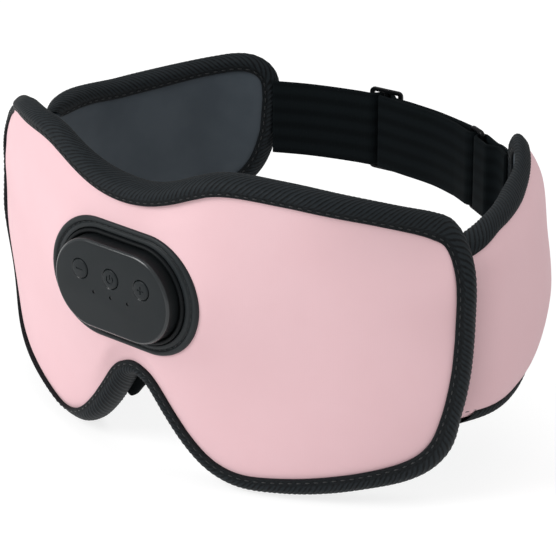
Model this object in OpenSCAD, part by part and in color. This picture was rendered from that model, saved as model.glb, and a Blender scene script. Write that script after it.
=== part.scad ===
// Eye massager mask: a padded front panel, two padded wings, an elastic strap and a control pod.
// Millimetres. +Z is up, -Y is the front and X runs across the face. The origin is on the
// surface that the mask stands on, under the middle of its overall length and depth.

/* [Front panel] */
// Radius of the front panel's outer face
front_r = 119.5; // [114:0.5:124]
// Forward lean of the front panel's upper edge, degrees
front_lean = 3.4; // [1:0.2:4.4]
// Half width of the front panel's cloth face, along its curve
cloth_half = 102.2; // [99:0.2:104]
// Height of the front panel's cloth face
cloth_h = 90.4; // [86:0.2:95]
// Thickness of the front panel from its cover to its lining
panel_t = 9.2; // [8.8:0.1:10]
// Width of the edge binding on each face
bind_w = 6; // [5.6:0.1:6.6]
// How far the panel's upper corners curl in
corner_curl = 7.6; // [6.8:0.2:8]
// Thickness of the cover and lining cloth
cloth_t = 0.8; // [0.6:0.05:1]

/* [Wings] */
// Distance from the nose to the centre of the head circle
head_y = 55; // [53:0.5:58]
// Length of a wing's cloth face, along its curve
wing_len = 77; // [73:0.5:79]
// Height of a wing's cloth face at the seam
wing_h = 48.4; // [46:0.2:52]
// Thickness of a wing from its cover to its lining
wing_t = 7.8; // [7:0.1:8.4]
// How far a wing's padding swells past its flat thickness
wing_crown = 6; // [4:0.5:7]

/* [Strap] */
// Width of the strap webbing
strap_w = 25; // [22:0.5:28]
// Thickness of the strap webbing
strap_t = 1.4; // [1.2:0.05:1.6]
// Place of the slider along the strap, degrees from straight back
slider_at = -9; // [-12:0.5:-5]
// Place of the ring along the strap, degrees from straight back
ring_at = 22; // [18:0.5:24]

/* [Control pod] */
// Width of the pod's face
pod_w = 45.5; // [44:0.5:48]
// Height of the pod's face
pod_h = 28.2; // [27.4:0.2:29]
// How far the pod's face stands in front of the nose
pod_proud = 7.8; // [7.4:0.1:8.2]
// Button diameter
button_d = 6; // [5.5:0.1:6.6]
// Distance between neighbouring buttons
button_pitch = 12.2; // [11:0.1:13]
// How far a button travels
button_travel = 0.4; // [0.2:0.05:0.5]
// Diameter of the small lens holes
lens_d = 1.3; // [1:0.1:1.6]
// Distance between neighbouring lens holes
lens_pitch = 6.8; // [6:0.1:8]

/* [Clearances] */
// Gap round the pod in its dock
pod_gap = 0.3; // [0.2:0.05:0.4]
// Gap round a button
button_gap = 0.15; // [0.1:0.05:0.25]
// Gap between pieces that lie side by side
lay_gap = 0.05; // [0.02:0.01:0.08]

/* [Hidden] */
$fn = 48;

// --- colours ---
blush = [0.97, 0.80, 0.83];
ink = [0.10, 0.11, 0.12];
slate = [0.25, 0.27, 0.31];
charcoal = [0.22, 0.23, 0.24];
foam_white = [0.93, 0.92, 0.88];
copper = [0.80, 0.50, 0.28];
steel = [0.72, 0.73, 0.75];
board_green = [0.10, 0.38, 0.24];

// --- layers of the front panel, as depths behind its outer face ---
film_t = 0.3;
foam_back = panel_t - cloth_t - film_t - 2 * lay_gap;
film_depth = foam_back + lay_gap;
bind_t = 0.45;
// how far the layers reach into the binding
tuck = bind_w - 2;

// --- cloth outline of the front panel, right half, from the middle out ---
out_x = cloth_half / 102.2;
out_z = cloth_h / 90.4;
cloth_low = bind_w;
function edge(x, z) = [x * out_x, cloth_low + (z - 5.7) * out_z];
upper_half = [
    edge(0, 86.2), edge(5, 86.5), edge(10, 87.3), edge(15, 88.7), edge(20, 90.6), edge(26, 93.2),
    edge(32, 95.3), edge(39, 96.1), edge(48, 95.7), edge(60, 94.3), edge(75, 91.1), edge(88, 87.1),
    edge(95.5, 84.1), edge(99.9, 81), edge(102.1, 73.7), edge(102.2, 62)
];
lower_half = [
    edge(0, 33.5), edge(5, 32), edge(9, 28.7), edge(14.5, 21.4), edge(20, 14.8), edge(26, 9.6),
    edge(32, 6.8), edge(39, 5.7), edge(48, 6.3), edge(60, 7.9), edge(75, 10.9), edge(88, 14.9),
    edge(95, 20.3), edge(98.6, 29.5), edge(101, 42), edge(102, 54)
];
lean_z = cloth_low + 48 * out_z;
pod_z = cloth_low + 53.5 * out_z;

// --- smooth curves and offsets ---
function spline_at(a, b, c, d, u) =
    0.5 * (2 * b + (c - a) * u + (2 * a - 5 * b + 4 * c - d) * u * u
    + (3 * b - a - 3 * c + d) * u * u * u);
function smooth(p, n) = let (last = len(p) - 1) [
    for (i = [0:last - 1], k = [0:n - 1])
        spline_at(p[max(i - 1, 0)], p[i], p[i + 1], p[min(i + 2, last)], k / n),
    p[last]
];
function both_halves(p) = [for (i = [len(p) - 1:-1:1]) [-p[i][0], p[i][1]], each p];
function reversed(p) = [for (i = [len(p) - 1:-1:0]) p[i]];
function unit(v) = v / norm(v);
function left_of(v) = [-v[1], v[0]];
// moves each point of a path to its left by d
function shifted(p, d, closed = false) = let (n = len(p)) [
    for (i = [0:n - 1])
        let (a = closed ? p[(i + n - 1) % n] : p[max(i - 1, 0)])
        let (b = closed ? p[(i + 1) % n] : p[min(i + 1, n - 1)])
        p[i] + left_of(unit(b - a)) * d
];

// --- the front panel's surface: s along the curve, z up, t behind the outer face ---
// the upper corners curl in towards the head, where the padding is squeezed, and the ends belly out
curl_s = 58;
curl_z = cloth_low + 58 * out_z;
curl_w = 13;
squeeze = 4;
belly = 1.8;
belly_z = cloth_low + 29 * out_z;
function lifted(z) = let (v = max((z - curl_z) / curl_w, 0)) v < 1 ? v * v / 2 : v - 0.5;
function near_end(s) = pow(min(max((abs(s) - curl_s) / (cloth_half - curl_s), 0), 1.1), 2);
function curl(p) = corner_curl * near_end(p[0]) * lifted(p[1]);
function on_front(p, t) = let (c = curl(p))
    let (r = front_r + (p[1] - lean_z) * tan(front_lean) - t - c
        + squeeze * (1 - exp(-c / 5)) * t / panel_t
        + belly * near_end(p[0]) * exp(-pow((p[1] - belly_z) / 22, 2)))
    let (a = p[0] / front_r * 180 / PI)
    [r * sin(a), front_r - r * cos(a), p[1]];
front_top = smooth(both_halves(upper_half), 2);
front_low = smooth(both_halves(lower_half), 2);
front_edge = concat(front_top, reversed(front_low));
// the binding bulges at the panel's ends, where it turns the corners
bulge = 0.3;
function ease(v) = let (w = min(max(v, 0), 1)) w * w * (3 - 2 * w);
function fullness(p) = 1 + bulge * ease((abs(p[0]) - 70) / 28) * ease((90 - p[1]) / 12);
function front_rim(d) = let (n = len(front_edge), wide = shifted(front_edge, 1, true)) [
    for (i = [0:n - 1]) front_edge[i] + (wide[i] - front_edge[i]) * d * fullness(front_edge[i])
];
front_n = len(front_top);

// --- the wings: u along the curve from the seam, z up, t behind the outer face ---
end_a = (cloth_half + 3.4) / front_r * 180 / PI;
end_r = front_r - panel_t - bind_t - lay_gap - 2;
end_corner = [end_r * sin(end_a), front_r - end_r * cos(end_a)];
head_r = norm(end_corner - [0, head_y]) - 1.6;
seam_at = 92.4;
// how far a wing's upper corner runs on past the seam, behind the front panel's end
seam_slant = 5;
pinch_len = 16;
pinch = 0.4;
function pinched(u) = u < pinch_len ? 1 - pinch * pow(1 - max(u, -2) / pinch_len, 2) : 1;
// behind the panel's curled corner the wing's upper edge bends in with it
wing_curl = 5.4;
function on_wing(p, t) = let (a = seam_at - p[0] / head_r * 180 / PI)
    let (r = head_r - wing_t / 2 + (wing_t - t) * pinched(p[0])
        - wing_curl * lifted(p[1]) * pow(max(1 - max(p[0], 0) / 26, 0), 2))
    [r * sin(a), head_y + r * cos(a), p[1]];
wing_x = wing_len / 75;
wing_z = wing_h / 48.4;
wing_mid = cloth_low + 57.4 * out_z;
function wing_edge(u, z) = [u * wing_x, wing_mid + (z - 63.5) * wing_z];
wing_top = smooth([
    wing_edge(-seam_slant, 73.2), wing_edge(9, 74.1), wing_edge(24, 75), wing_edge(38, 75.9),
    wing_edge(50, 77), wing_edge(60, 78.2), wing_edge(67, 79), wing_edge(71.5, 78.3),
    wing_edge(74.4, 75.4), wing_edge(75, 69.5)
], 2);
wing_low = smooth([
    wing_edge(0, 25), wing_edge(12, 25.4), wing_edge(24, 26.4), wing_edge(38, 29.1),
    wing_edge(49, 32.6), wing_edge(58.5, 37.4), wing_edge(65.5, 42.3), wing_edge(69.8, 46.8),
    wing_edge(72.4, 52), wing_edge(74.2, 58.5)
], 2);
wing_path = concat(wing_top, reversed(wing_low));
wing_n = len(wing_top);
tip_at = seam_at - (wing_len + bind_w) / head_r * 180 / PI;

// --- strap, slider and ring ---
function polar(a, r) = [r * sin(a), head_y + r * cos(a)];
strap_z = wing_mid;
ply_gap = 0.2;
bar_t = 1.2;
bar_w = 1.6;
bar_pitch = 5.2;
weave = bar_t / 2 + strap_t / 2 + 0.6;
bar_r = head_r + 0.6;
outer_r = bar_r - weave;
return_r = outer_r - strap_t - ply_gap;
rail = 1.2;
slider_h = strap_w + 2 * rail + 1.2;
ring_d = 2;
ring_r = (outer_r + return_r) / 2;
ring_half = 3;
ring_h = strap_w + 2.4;
wrap_r = ring_d / 2 + ply_gap + strap_t / 2;
function along(mm, r) = mm / r * 180 / PI;
ring_bar_at = ring_at - along(ring_half, ring_r);
tab_bar_at = ring_at + along(ring_half, ring_r);
function wrap(at, from, to) = [for (i = [0:6])
    let (c = polar(at, ring_r), a = from + (to - from) * i / 6)
    c + wrap_r * [sin(at) * cos(a) + cos(at) * sin(a), cos(at) * cos(a) - sin(at) * sin(a)]
];

// --- control pod and dock, as depths from the nose ---
face_y = -pod_proud;
face_t = 1.5;
shell_t = 1.3;
face_in = face_y + face_t;
bezel_y = -3.4;
part_y = bezel_y + 0.9;
board_y = part_y + 0.7;
board_t = 1;
pod_back = part_y + 5.8;
floor_in = pod_back - shell_t;
button_dz = 4;
lens_dz = -2;
lip_t = 0.5;
boss_at = [11.6, 10.1];
boss_d = 4;
screw_d = 1.6;
screw_gap = 0.05;
pin_pitch = 2.6;
pin_z = -8.4;
magnet_x = pod_w / 2 - 4;
magnet_d = 5;
tray_y = pod_back + pod_gap;
tray_t = 1.2;
tray_wall = 1.4;
tray_back = tray_y + tray_t;
tray_w = pod_w + 2 * (pod_gap + tray_wall);
tray_h = pod_h + 2 * (pod_gap + tray_wall);
flange_rim = [4.6, 3.3];
flange_y = -2.4;
flange_r = 600;
dock_board_t = 0.9;
plate_y = tray_back + dock_board_t + 0.15;
plate_t = 0.8;
head_t = 0.6;
dock_boss_at = [pod_w / 2 - 3.75, pod_h / 2 - 6.3];

// --- heaters, motors and wiring in the front panel ---
film_s = [24, curl_s];
motor_s = 50;
motor_z = pod_z + 14;
motor_d = 10;
motor_h = 3.4;
motor_depth = foam_back - motor_h - 0.6;
case_t = 0.4;
motor_pin_d = 1;

// --- the whole mask stands on z = 0, centred over its overall depth ---
rear_y = head_y + (bar_r + weave + strap_t / 2) * cos(slider_at);
rim_low = min([for (p = front_rim(bind_w)) p[1]]);
module placed() {
    translate([0, -(rear_y + face_y) / 2, -rim_low]) children();
}

// --- shared solids ---
// joins rings of points, with end caps given as triangles of ring indices; the two halves
// of a ring are split along mirrored diagonals, so that the faces of stacked layers match
module loft(rings, cap = [], closed = false) {
    m = len(rings[0]);
    n = len(rings);
    sides = [
        for (i = [0:closed ? n - 1 : n - 2], k = [0:m - 1])
            let (j = (i + 1) % n, q = (k + 1) % m)
            let (a = i * m + k, b = j * m + k, c = j * m + q, d = i * m + q)
            each 2 * k < m - 1 ? [[a, b, c], [a, c, d]] : [[a, b, d], [b, c, d]]
    ];
    near = [for (f = cap) [f[0], f[1], f[2]]];
    far = [for (f = cap) [f[2], f[1], f[0]] + (n - 1) * m * [1, 1, 1]];
    polyhedron(points = [for (r = rings) each r], faces = concat(sides, near, far), convexity = 8);
}
square_cap = [[0, 1, 2], [0, 2, 3]];

// end triangles for a ring made of two rows of m points
function row_cap(m) =
    [for (k = [0:m - 2]) each [[k, 2 * m - 2 - k, 2 * m - 1 - k], [k, k + 1, 2 * m - 2 - k]]];

// a layer of the front panel between two depths, reaching past the cloth edge by d
front_rows = [0.1, 0.2, 0.35, 0.65];
module front_layer(t0, t1, d) {
    e = front_rim(d);
    function row(i, t) = let (j = 2 * front_n - 1 - i, a = front_edge[i], b = front_edge[j])
        [on_front(e[i], t), for (f = [0, each front_rows, 1]) on_front(a + (b - a) * f, t),
            on_front(e[j], t)];
    loft([for (i = [0:front_n - 1]) concat(reversed(row(i, t1)), row(i, t0))],
        row_cap(len(front_rows) + 4));
}

// a swollen wing layer: both its faces rise by their own share of the crown
crown_rows = [0.12, 0.3, 0.5, 0.7, 0.88];
function swell(u, f) = wing_crown * (1 - pow(abs(2 * f - 1), 3))
    * (1 - exp(-max(u, 0) / 12)) * (1 - exp(-max(wing_len - u, 0) / 5.5));
module crowned_layer(t0, t1, share0, share1, d) {
    e = shifted(wing_path, d);
    function row(i, t, share) =
        let (j = 2 * wing_n - 1 - i, a = wing_path[i], b = wing_path[j])
        [on_wing(e[i], t),
            for (f = [0, each crown_rows, 1]) let (p = a + (b - a) * f)
                on_wing(p, t - share * swell(p[0], f)),
            on_wing(e[j], t)];
    loft([for (i = [0:wing_n - 1]) concat(reversed(row(i, t1, share1)), row(i, t0, share0))],
        row_cap(len(crown_rows) + 4));
}

// the folded binding's section: d past the cloth edge, t behind the outer face
function bind_section(t) = [
    [bind_w, 0.33 * t], [bind_w - 0.8, 0.09 * t], [bind_w - 2.6, -bind_t - lay_gap],
    [0, -bind_t - lay_gap], [0, -lay_gap], [tuck + 0.2, -lay_gap], [tuck + 0.2, t + lay_gap],
    [0, t + lay_gap], [0, t + bind_t + lay_gap], [bind_w - 2.6, t + bind_t + lay_gap],
    [bind_w - 0.8, 0.91 * t], [bind_w, 0.67 * t]
];
bind_cap = [
    [4, 2, 3], [4, 5, 2], [5, 1, 2], [5, 0, 1], [5, 11, 0],
    [5, 6, 11], [6, 10, 11], [6, 9, 10], [6, 7, 9], [7, 8, 9]
];

// a band of webbing along a plan path
module webbing(path, w = strap_w, t = strap_t) {
    a = shifted(path, t / 2);
    b = shifted(path, -t / 2);
    z0 = strap_z - w / 2;
    z1 = strap_z + w / 2;
    loft([for (i = [0:len(path) - 1])
        [[each a[i], z0], [each a[i], z1], [each b[i], z1], [each b[i], z0]]], square_cap);
}

// flat outline with round ends, exact arcs
module stadium(w, h) {
    square([w - h, h], center = true);
    for (s = [-1, 1]) translate([s * (w - h) / 2, 0]) circle(d = h);
}

// flat outline with rounded corners, exact arcs
module rounded(w, h, r) {
    square([w - 2 * r, h], center = true);
    square([w, h - 2 * r], center = true);
    for (x = [-1, 1], y = [-1, 1]) translate([x * (w / 2 - r), y * (h / 2 - r)]) circle(r = r);
}

// pushes an outline from depth y0 to depth y1 at the pod's height
module at_pod(y0, y1) {
    translate([0, y1, pod_z]) rotate([90, 0, 0]) linear_extrude(y1 - y0) children();
}

module at_corners(p) {
    for (x = [-1, 1], z = [-1, 1]) translate([x * p[0], z * p[1]]) children();
}

module at_pins() {
    for (i = [-1.5:1:1.5]) translate([i * pin_pitch, pin_z]) children();
}

module at_magnets() {
    for (x = [-1, 1]) translate([x * magnet_x, 0]) children();
}

module at_buttons() {
    for (i = [-1:1]) translate([i * button_pitch, button_dz]) children();
}

module at_lenses() {
    for (i = [-1:1]) translate([i * lens_pitch, lens_dz]) children();
}

// places children on a motor's axis, +Z pointing into the panel from its outer face
module at_motor(side) {
    r = front_r + (motor_z - lean_z) * tan(front_lean);
    a = side * motor_s / front_r * 180 / PI;
    translate([r * sin(a), front_r - r * cos(a), motor_z])
        rotate([0, 0, a]) rotate([-90, 0, 0]) children();
}

// --- front panel ---
module dock_opening() {
    at_pod(-20, 30) stadium(tray_w + 0.4, tray_h + 0.4);
}

module front_cover() placed() color(blush) difference() {
    front_layer(0, cloth_t, tuck);
    dock_opening();
}

module front_foam() placed() color(foam_white) difference() {
    front_layer(cloth_t + lay_gap, foam_back, tuck);
    dock_opening();
    for (s = [-1, 1]) at_motor(s)
        translate([0, 0, motor_depth - 0.3]) cylinder(d = motor_d + 0.6, h = motor_h + 6);
}

module front_lining() placed() color(slate)
    front_layer(panel_t - cloth_t, panel_t, tuck);

module front_binding() placed() color(ink) {
    section = bind_section(panel_t);
    paths = [for (q = section) front_rim(q[0])];
    loft([for (i = [0:2 * front_n - 1])
        [for (k = [0:len(section) - 1]) on_front(paths[k][i], section[k][1])]], closed = true);
}

module nose_flap() placed() color(ink) {
    t0 = panel_t + bind_t + 2 * lay_gap;
    top = smooth(both_halves([edge(0, 43), edge(6, 42.5), edge(12, 40), edge(16, 36), edge(18, 30)]), 2);
    low = smooth(both_halves([edge(0, 21.7), edge(6, 19.8), edge(12, 14.2), edge(15.5, 14), edge(18, 19)]), 2);
    loft([for (i = [0:len(top) - 1])
        [on_front(low[i], t0), on_front(low[i], t0 + 1.6),
        on_front(top[i], t0 + 1.6), on_front(top[i], t0)]], square_cap);
}

// a thin sheet between the foam and the lining
module film_sheet(s0, s1, z0, z1) {
    n = 24;
    loft([for (i = [0:n])
        let (s = s0 + (s1 - s0) * i / n)
        [on_front([s, z0], film_depth), on_front([s, z0], film_depth + film_t),
        on_front([s, z1], film_depth + film_t), on_front([s, z1], film_depth)]], square_cap);
}

module heater_film_left() placed() color(copper)
    film_sheet(-film_s[1], -film_s[0], pod_z - 36, motor_z - motor_d);

module heater_film_right() placed() color(copper)
    film_sheet(film_s[0], film_s[1], pod_z - 36, motor_z - motor_d);

module wiring_harness() placed() color("black")
    film_sheet(-motor_s - 5, motor_s + 5, motor_z - 2, motor_z + 2);

module motor_case(side) {
    at_motor(side) translate([0, 0, motor_depth]) {
        difference() {
            cylinder(d = motor_d, h = motor_h);
            translate([0, 0, case_t]) cylinder(d = motor_d - 2 * case_t, h = motor_h - 2 * case_t);
        }
        cylinder(d = motor_pin_d, h = motor_h);
    }
}

module motor_rotor(side) {
    at_motor(side) translate([0, 0, motor_depth + case_t + 0.3]) difference() {
        union() {
            cylinder(d = 3, h = motor_h - 2 * case_t - 0.6);
            intersection() {
                cylinder(d = motor_d - 2 * case_t - 0.8, h = motor_h - 2 * case_t - 0.6);
                translate([-motor_d, 0, 0]) cube([2 * motor_d, motor_d, motor_h]);
            }
        }
        translate([0, 0, -1]) cylinder(d = motor_pin_d + 0.1, h = motor_h + 2);
    }
}

module motor_case_left() placed() color(steel) motor_case(-1);
module motor_case_right() placed() color(steel) motor_case(1);
module motor_rotor_left() placed() color("gray") motor_rotor(-1);
module motor_rotor_right() placed() color("gray") motor_rotor(1);

// --- dock ---
module dock_flange() placed() color(charcoal) difference() {
    intersection() {
        translate([0, flange_y + flange_r, pod_z - tray_h])
            cylinder(r = flange_r, h = 2 * tray_h, $fn = 180);
        at_pod(-20, 20) stadium(tray_w + 2 * flange_rim[0], tray_h + 2 * flange_rim[1]);
    }
    translate([0, front_r, lean_z]) rotate([front_lean, 0, 0])
        translate([0, 0, pod_z - lean_z - 2 * tray_h])
            cylinder(r = front_r + 0.15, h = 4 * tray_h, $fn = 96);
    at_pod(-30, 30) stadium(tray_w + 2 * lay_gap, tray_h + 2 * lay_gap);
}

module dock_frame() placed() color(charcoal) difference() {
    union() {
        at_pod(bezel_y, tray_back) stadium(tray_w, tray_h);
        at_pod(tray_back, plate_y - lay_gap) at_corners(dock_boss_at) circle(d = boss_d);
    }
    at_pod(bezel_y - 1, tray_y) stadium(pod_w + 2 * pod_gap, pod_h + 2 * pod_gap);
    at_pod(tray_y - 1, tray_back + 1) at_pins() circle(d = 2);
    at_pod(tray_y + 0.4, plate_y + 1) at_corners(dock_boss_at) circle(d = screw_d + 2 * screw_gap);
}

module dock_contact_board() placed() color(board_green)
    at_pod(tray_back + lay_gap, tray_back + lay_gap + dock_board_t) square([26, 22], center = true);

module dock_contacts() placed() color("gold")
    at_pod(tray_y, tray_back) at_pins() circle(d = 1.8);

module dock_back_plate() placed() color(ink) difference() {
    at_pod(plate_y, plate_y + plate_t) stadium(tray_w - 2, tray_h - 2);
    at_pod(plate_y - 1, plate_y + plate_t + 1) at_corners(dock_boss_at) circle(d = screw_d + 0.2);
}

module dock_magnets() placed() color(steel)
    at_pod(tray_back + lay_gap, tray_back + lay_gap + dock_board_t) at_magnets() circle(d = magnet_d);

module dock_screws() placed() color(steel) {
    at_pod(tray_y + 0.6, plate_y + plate_t + lay_gap) at_corners(dock_boss_at) circle(d = screw_d);
    at_pod(plate_y + plate_t + lay_gap, plate_y + plate_t + lay_gap + head_t)
        at_corners(dock_boss_at) circle(d = 3);
}

// --- wings, made on the right side and mirrored for the left ---
module for_side(side) {
    if (side < 0) mirror([1, 0, 0]) children();
    else children();
}

module wing_binding() {
    section = bind_section(wing_t);
    paths = [for (q = section) shifted(wing_path, q[0])];
    loft([for (i = [0:2 * wing_n - 1])
        [for (k = [0:len(section) - 1]) on_wing(paths[k][i], section[k][1])]], bind_cap);
}

// strip that bridges the fold between the front panel and a wing
module seam_tape() {
    t0 = panel_t + 4 * lay_gap;
    t1 = wing_t + 2 * lay_gap;
    z0 = wing_low[0][1] + 1;
    z1 = wing_top[0][1] - 1;
    function front_pair(s, z) = [on_front([s, z], t0 + cloth_t), on_front([s, z], t0)];
    function wing_pair(u, z) = [on_wing([u, z], t1 + cloth_t), on_wing([u, z], t1)];
    function ring_of(a, b) = [b[0], b[1], a[1], a[0]];
    loft([
        for (s = [cloth_half - 17, cloth_half - 11.5]) ring_of(front_pair(s, z0), front_pair(s, z1)),
        for (u = [-seam_slant - 0.5, 0, 6, 11]) ring_of(wing_pair(u, z0), wing_pair(u, z1))
    ], square_cap);
}

module left_wing_cover() placed() color(blush)
    for_side(-1) crowned_layer(0, cloth_t, 1, 1, tuck);
module right_wing_cover() placed() color(blush)
    for_side(1) crowned_layer(0, cloth_t, 1, 1, tuck);
module left_wing_foam() placed() color(foam_white)
    for_side(-1) crowned_layer(cloth_t + lay_gap, wing_t - cloth_t - lay_gap, 1, 0, tuck);
module right_wing_foam() placed() color(foam_white)
    for_side(1) crowned_layer(cloth_t + lay_gap, wing_t - cloth_t - lay_gap, 1, 0, tuck);
module left_wing_lining() placed() color(slate)
    for_side(-1) crowned_layer(wing_t - cloth_t, wing_t, 0, 0, tuck);
module right_wing_lining() placed() color(slate)
    for_side(1) crowned_layer(wing_t - cloth_t, wing_t, 0, 0, tuck);
module left_wing_binding() placed() color(ink) for_side(-1) wing_binding();
module right_wing_binding() placed() color(ink) for_side(1) wing_binding();
module left_seam_tape() placed() color(ink) for_side(-1) seam_tape();
module right_seam_tape() placed() color(ink) for_side(1) seam_tape();

// --- strap ---
// radius of the webbing where it weaves through the slider, mm along from the middle bar
function woven(mm) = bar_r + weave * cos(180 * mm / bar_pitch);

module strap_long_run() placed() color(ink)
    webbing(concat(
        smooth([polar(-tip_at + 0.3, head_r), polar(-tip_at + 6, outer_r + 0.5),
            polar((slider_at - tip_at) / 2, outer_r), polar(slider_at - along(9, bar_r), outer_r)], 5),
        [for (i = [6:-1:0]) polar(slider_at - along(i * bar_pitch / 6, bar_r), woven(i * bar_pitch / 6))]
    ));

module strap_loop() placed() color(ink)
    webbing(concat(
        [for (i = [0.6:0.8:7]) polar(slider_at + along(i * bar_pitch / 6, bar_r),
            woven(i * bar_pitch / 6))],
        smooth([polar(slider_at + along(10, bar_r), outer_r), polar(0.5 * (slider_at + ring_at), outer_r),
            polar(ring_bar_at - 5, outer_r + 0.4)], 5),
        wrap(ring_bar_at, 0, 180),
        smooth([polar(ring_bar_at - 5, return_r - 0.4), polar(0.5 * (slider_at + ring_at), return_r),
            polar(slider_at + along(9, bar_r), return_r)], 5),
        [polar(slider_at + along(bar_pitch, bar_r), return_r),
            polar(slider_at + along(2.6, bar_r), bar_r - weave - 1),
            polar(slider_at, bar_r - weave - 0.3),
            polar(slider_at - along(1.4, bar_r), bar_r - weave - 0.3)]
    ));

module strap_tab() placed() color(ink)
    webbing(concat(
        [polar(tip_at - 0.3, head_r + 0.9), polar(0.5 * (tip_at + tab_bar_at), ring_r + 1.7)],
        wrap(tab_bar_at, 0, -180),
        [polar(0.5 * (tip_at + tab_bar_at), ring_r - 1.7), polar(tip_at - 0.3, head_r - 0.9)]
    ));

module strap_slider() placed() color(ink)
    translate([0, head_y, strap_z]) rotate([0, 0, -slider_at])
    translate([0, bar_r + bar_t / 2, 0]) rotate([90, 0, 0]) linear_extrude(bar_t) difference() {
        rounded(2 * bar_pitch + bar_w, slider_h, 1.2);
        for (s = [-1, 1]) translate([s * bar_pitch / 2, 0])
            square([bar_pitch - bar_w, slider_h - 2 * rail], center = true);
    }

module strap_ring() placed() color(charcoal) translate([0, head_y, strap_z]) rotate([0, 0, -ring_at])
    translate([0, ring_r, 0]) {
        for (x = [-1, 1]) translate([x * ring_half, 0, 0])
            cylinder(d = ring_d, h = ring_h, center = true, $fn = 24);
        for (z = [-1, 1]) translate([0, 0, z * ring_h / 2]) {
            rotate([0, 90, 0]) cylinder(d = ring_d, h = 2 * ring_half, center = true, $fn = 24);
            for (x = [-1, 1]) translate([x * ring_half, 0, 0]) sphere(d = ring_d, $fn = 24);
        }
    }

// --- control pod ---
module pod_front_cover() placed() color(charcoal) difference() {
    union() {
        difference() {
            at_pod(face_y + 0.8, part_y) stadium(pod_w, pod_h);
            at_pod(face_in, part_y + 1) stadium(pod_w - 2 * shell_t, pod_h - 2 * shell_t);
        }
        at_pod(face_y, face_y + 0.8) stadium(pod_w - 1.2, pod_h - 1.2);
        at_pod(face_in, floor_in - lay_gap) at_corners(boss_at) circle(d = boss_d);
    }
    at_pod(face_y - 1, face_in + 0.1) {
        at_buttons() circle(d = button_d + 2 * button_gap);
        at_lenses() circle(d = lens_d);
    }
    at_pod(floor_in - 5, floor_in + 1) at_corners(boss_at) circle(d = screw_d + 2 * screw_gap);
    usb_cut();
}

// clearance round the charging socket through the pod's lower wall
module usb_cut() {
    translate([0, board_y - 1.65, pod_z - pod_h / 2 - 1])
        linear_extrude(9) stadium(9.4, 3.4);
}

module pod_rear_cover() placed() color(charcoal) difference() {
    at_pod(part_y + lay_gap, pod_back) stadium(pod_w, pod_h);
    at_pod(part_y - 1, floor_in) stadium(pod_w - 2 * shell_t, pod_h - 2 * shell_t);
    at_pod(floor_in - 1, pod_back + 1) {
        at_pins() circle(d = 1.6);
        at_corners(boss_at) circle(d = screw_d + 0.2);
    }
    at_pod(pod_back - 0.7, pod_back + 1) at_corners(boss_at) circle(d = 3.2);
    usb_cut();
}

module pod_circuit_board() placed() color(board_green) difference() {
    at_pod(board_y, board_y + board_t) stadium(pod_w - 2 * shell_t - 1, pod_h - 2 * shell_t - 1);
    at_pod(board_y - 1, board_y + board_t + 1) at_corners(boss_at) circle(d = boss_d + 0.4);
}

module pod_switches() placed() color(steel) {
    at_pod(board_y - 1.3, board_y - lay_gap) at_buttons() square(5, center = true);
    at_pod(face_in + 0.3 + lip_t + button_travel + 0.1, board_y - 1.3) at_buttons() circle(d = 2.4);
}

module pod_leds() placed() color("ivory")
    at_pod(board_y - 0.7, board_y - lay_gap) at_lenses() square([1.6, 1.2], center = true);

module pod_light_guides() placed() color("whitesmoke")
    at_pod(face_y + 0.3, board_y - 0.75) at_lenses() circle(d = lens_d - 0.1);

module pod_battery() placed() color("silver")
    translate([-13, board_y + board_t + 0.2, pod_z - 7]) cube([26, 2.3, 14]);

module pod_usb_socket() placed() color(steel)
    translate([0, board_y - 1.65, pod_z - pod_h / 2 + 0.4]) difference() {
        linear_extrude(7) stadium(8.9, 3.1);
        translate([0, 0, -1]) linear_extrude(7) difference() {
            stadium(8.3, 2.5);
            square([6.4, 0.7], center = true);
        }
    }

module pod_pogo_pins() placed() color("gold")
    at_pod(board_y + board_t + lay_gap, tray_y - 0.05) at_pins() circle(d = 1.2);

module pod_magnets() placed() color(steel)
    at_pod(floor_in - 1.4, floor_in - lay_gap) at_magnets() circle(d = magnet_d);

module pod_screws() placed() color(steel) {
    at_pod(floor_in - 4.5, pod_back - 0.65) at_corners(boss_at) circle(d = screw_d);
    at_pod(pod_back - 0.65, pod_back - 0.1) at_corners(boss_at) circle(d = 3);
}

// round key with a lip behind the pod's face and a shallow sign cut into it
module button_cap(i) {
    translate([i * button_pitch, 0, button_dz]) difference() {
        union() {
            at_pod(face_y, face_in + 0.3) circle(d = button_d);
            at_pod(face_in + 0.3, face_in + 0.3 + lip_t) circle(d = button_d + 1.2);
        }
        at_pod(face_y - 1, face_y + 0.2) children();
    }
}

module minus_button() placed() color(charcoal) button_cap(-1) square([2.6, 0.5], center = true);

module power_button() placed() color(charcoal) button_cap(0) {
    difference() {
        circle(d = 3);
        circle(d = 2.1);
        translate([-0.7, 0]) square([1.4, 3]);
    }
    translate([-0.25, 0]) square([0.5, 1.8]);
}

module plus_button() placed() color(charcoal) button_cap(1) {
    square([2.6, 0.5], center = true);
    square([0.5, 2.6], center = true);
}

front_cover();
front_foam();
front_lining();
front_binding();
nose_flap();
heater_film_left();
heater_film_right();
wiring_harness();
motor_case_left();
motor_case_right();
motor_rotor_left();
motor_rotor_right();
dock_flange();
dock_frame();
dock_contact_board();
dock_contacts();
dock_back_plate();
dock_magnets();
dock_screws();
left_wing_cover();
left_wing_foam();
left_wing_lining();
left_wing_binding();
left_seam_tape();
right_wing_cover();
right_wing_foam();
right_wing_lining();
right_wing_binding();
right_seam_tape();
strap_long_run();
strap_loop();
strap_tab();
strap_slider();
strap_ring();
pod_front_cover();
pod_rear_cover();
pod_circuit_board();
pod_switches();
pod_leds();
pod_light_guides();
pod_battery();
pod_usb_socket();
pod_pogo_pins();
pod_magnets();
pod_screws();
minus_button();
power_button();
plus_button();
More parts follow.
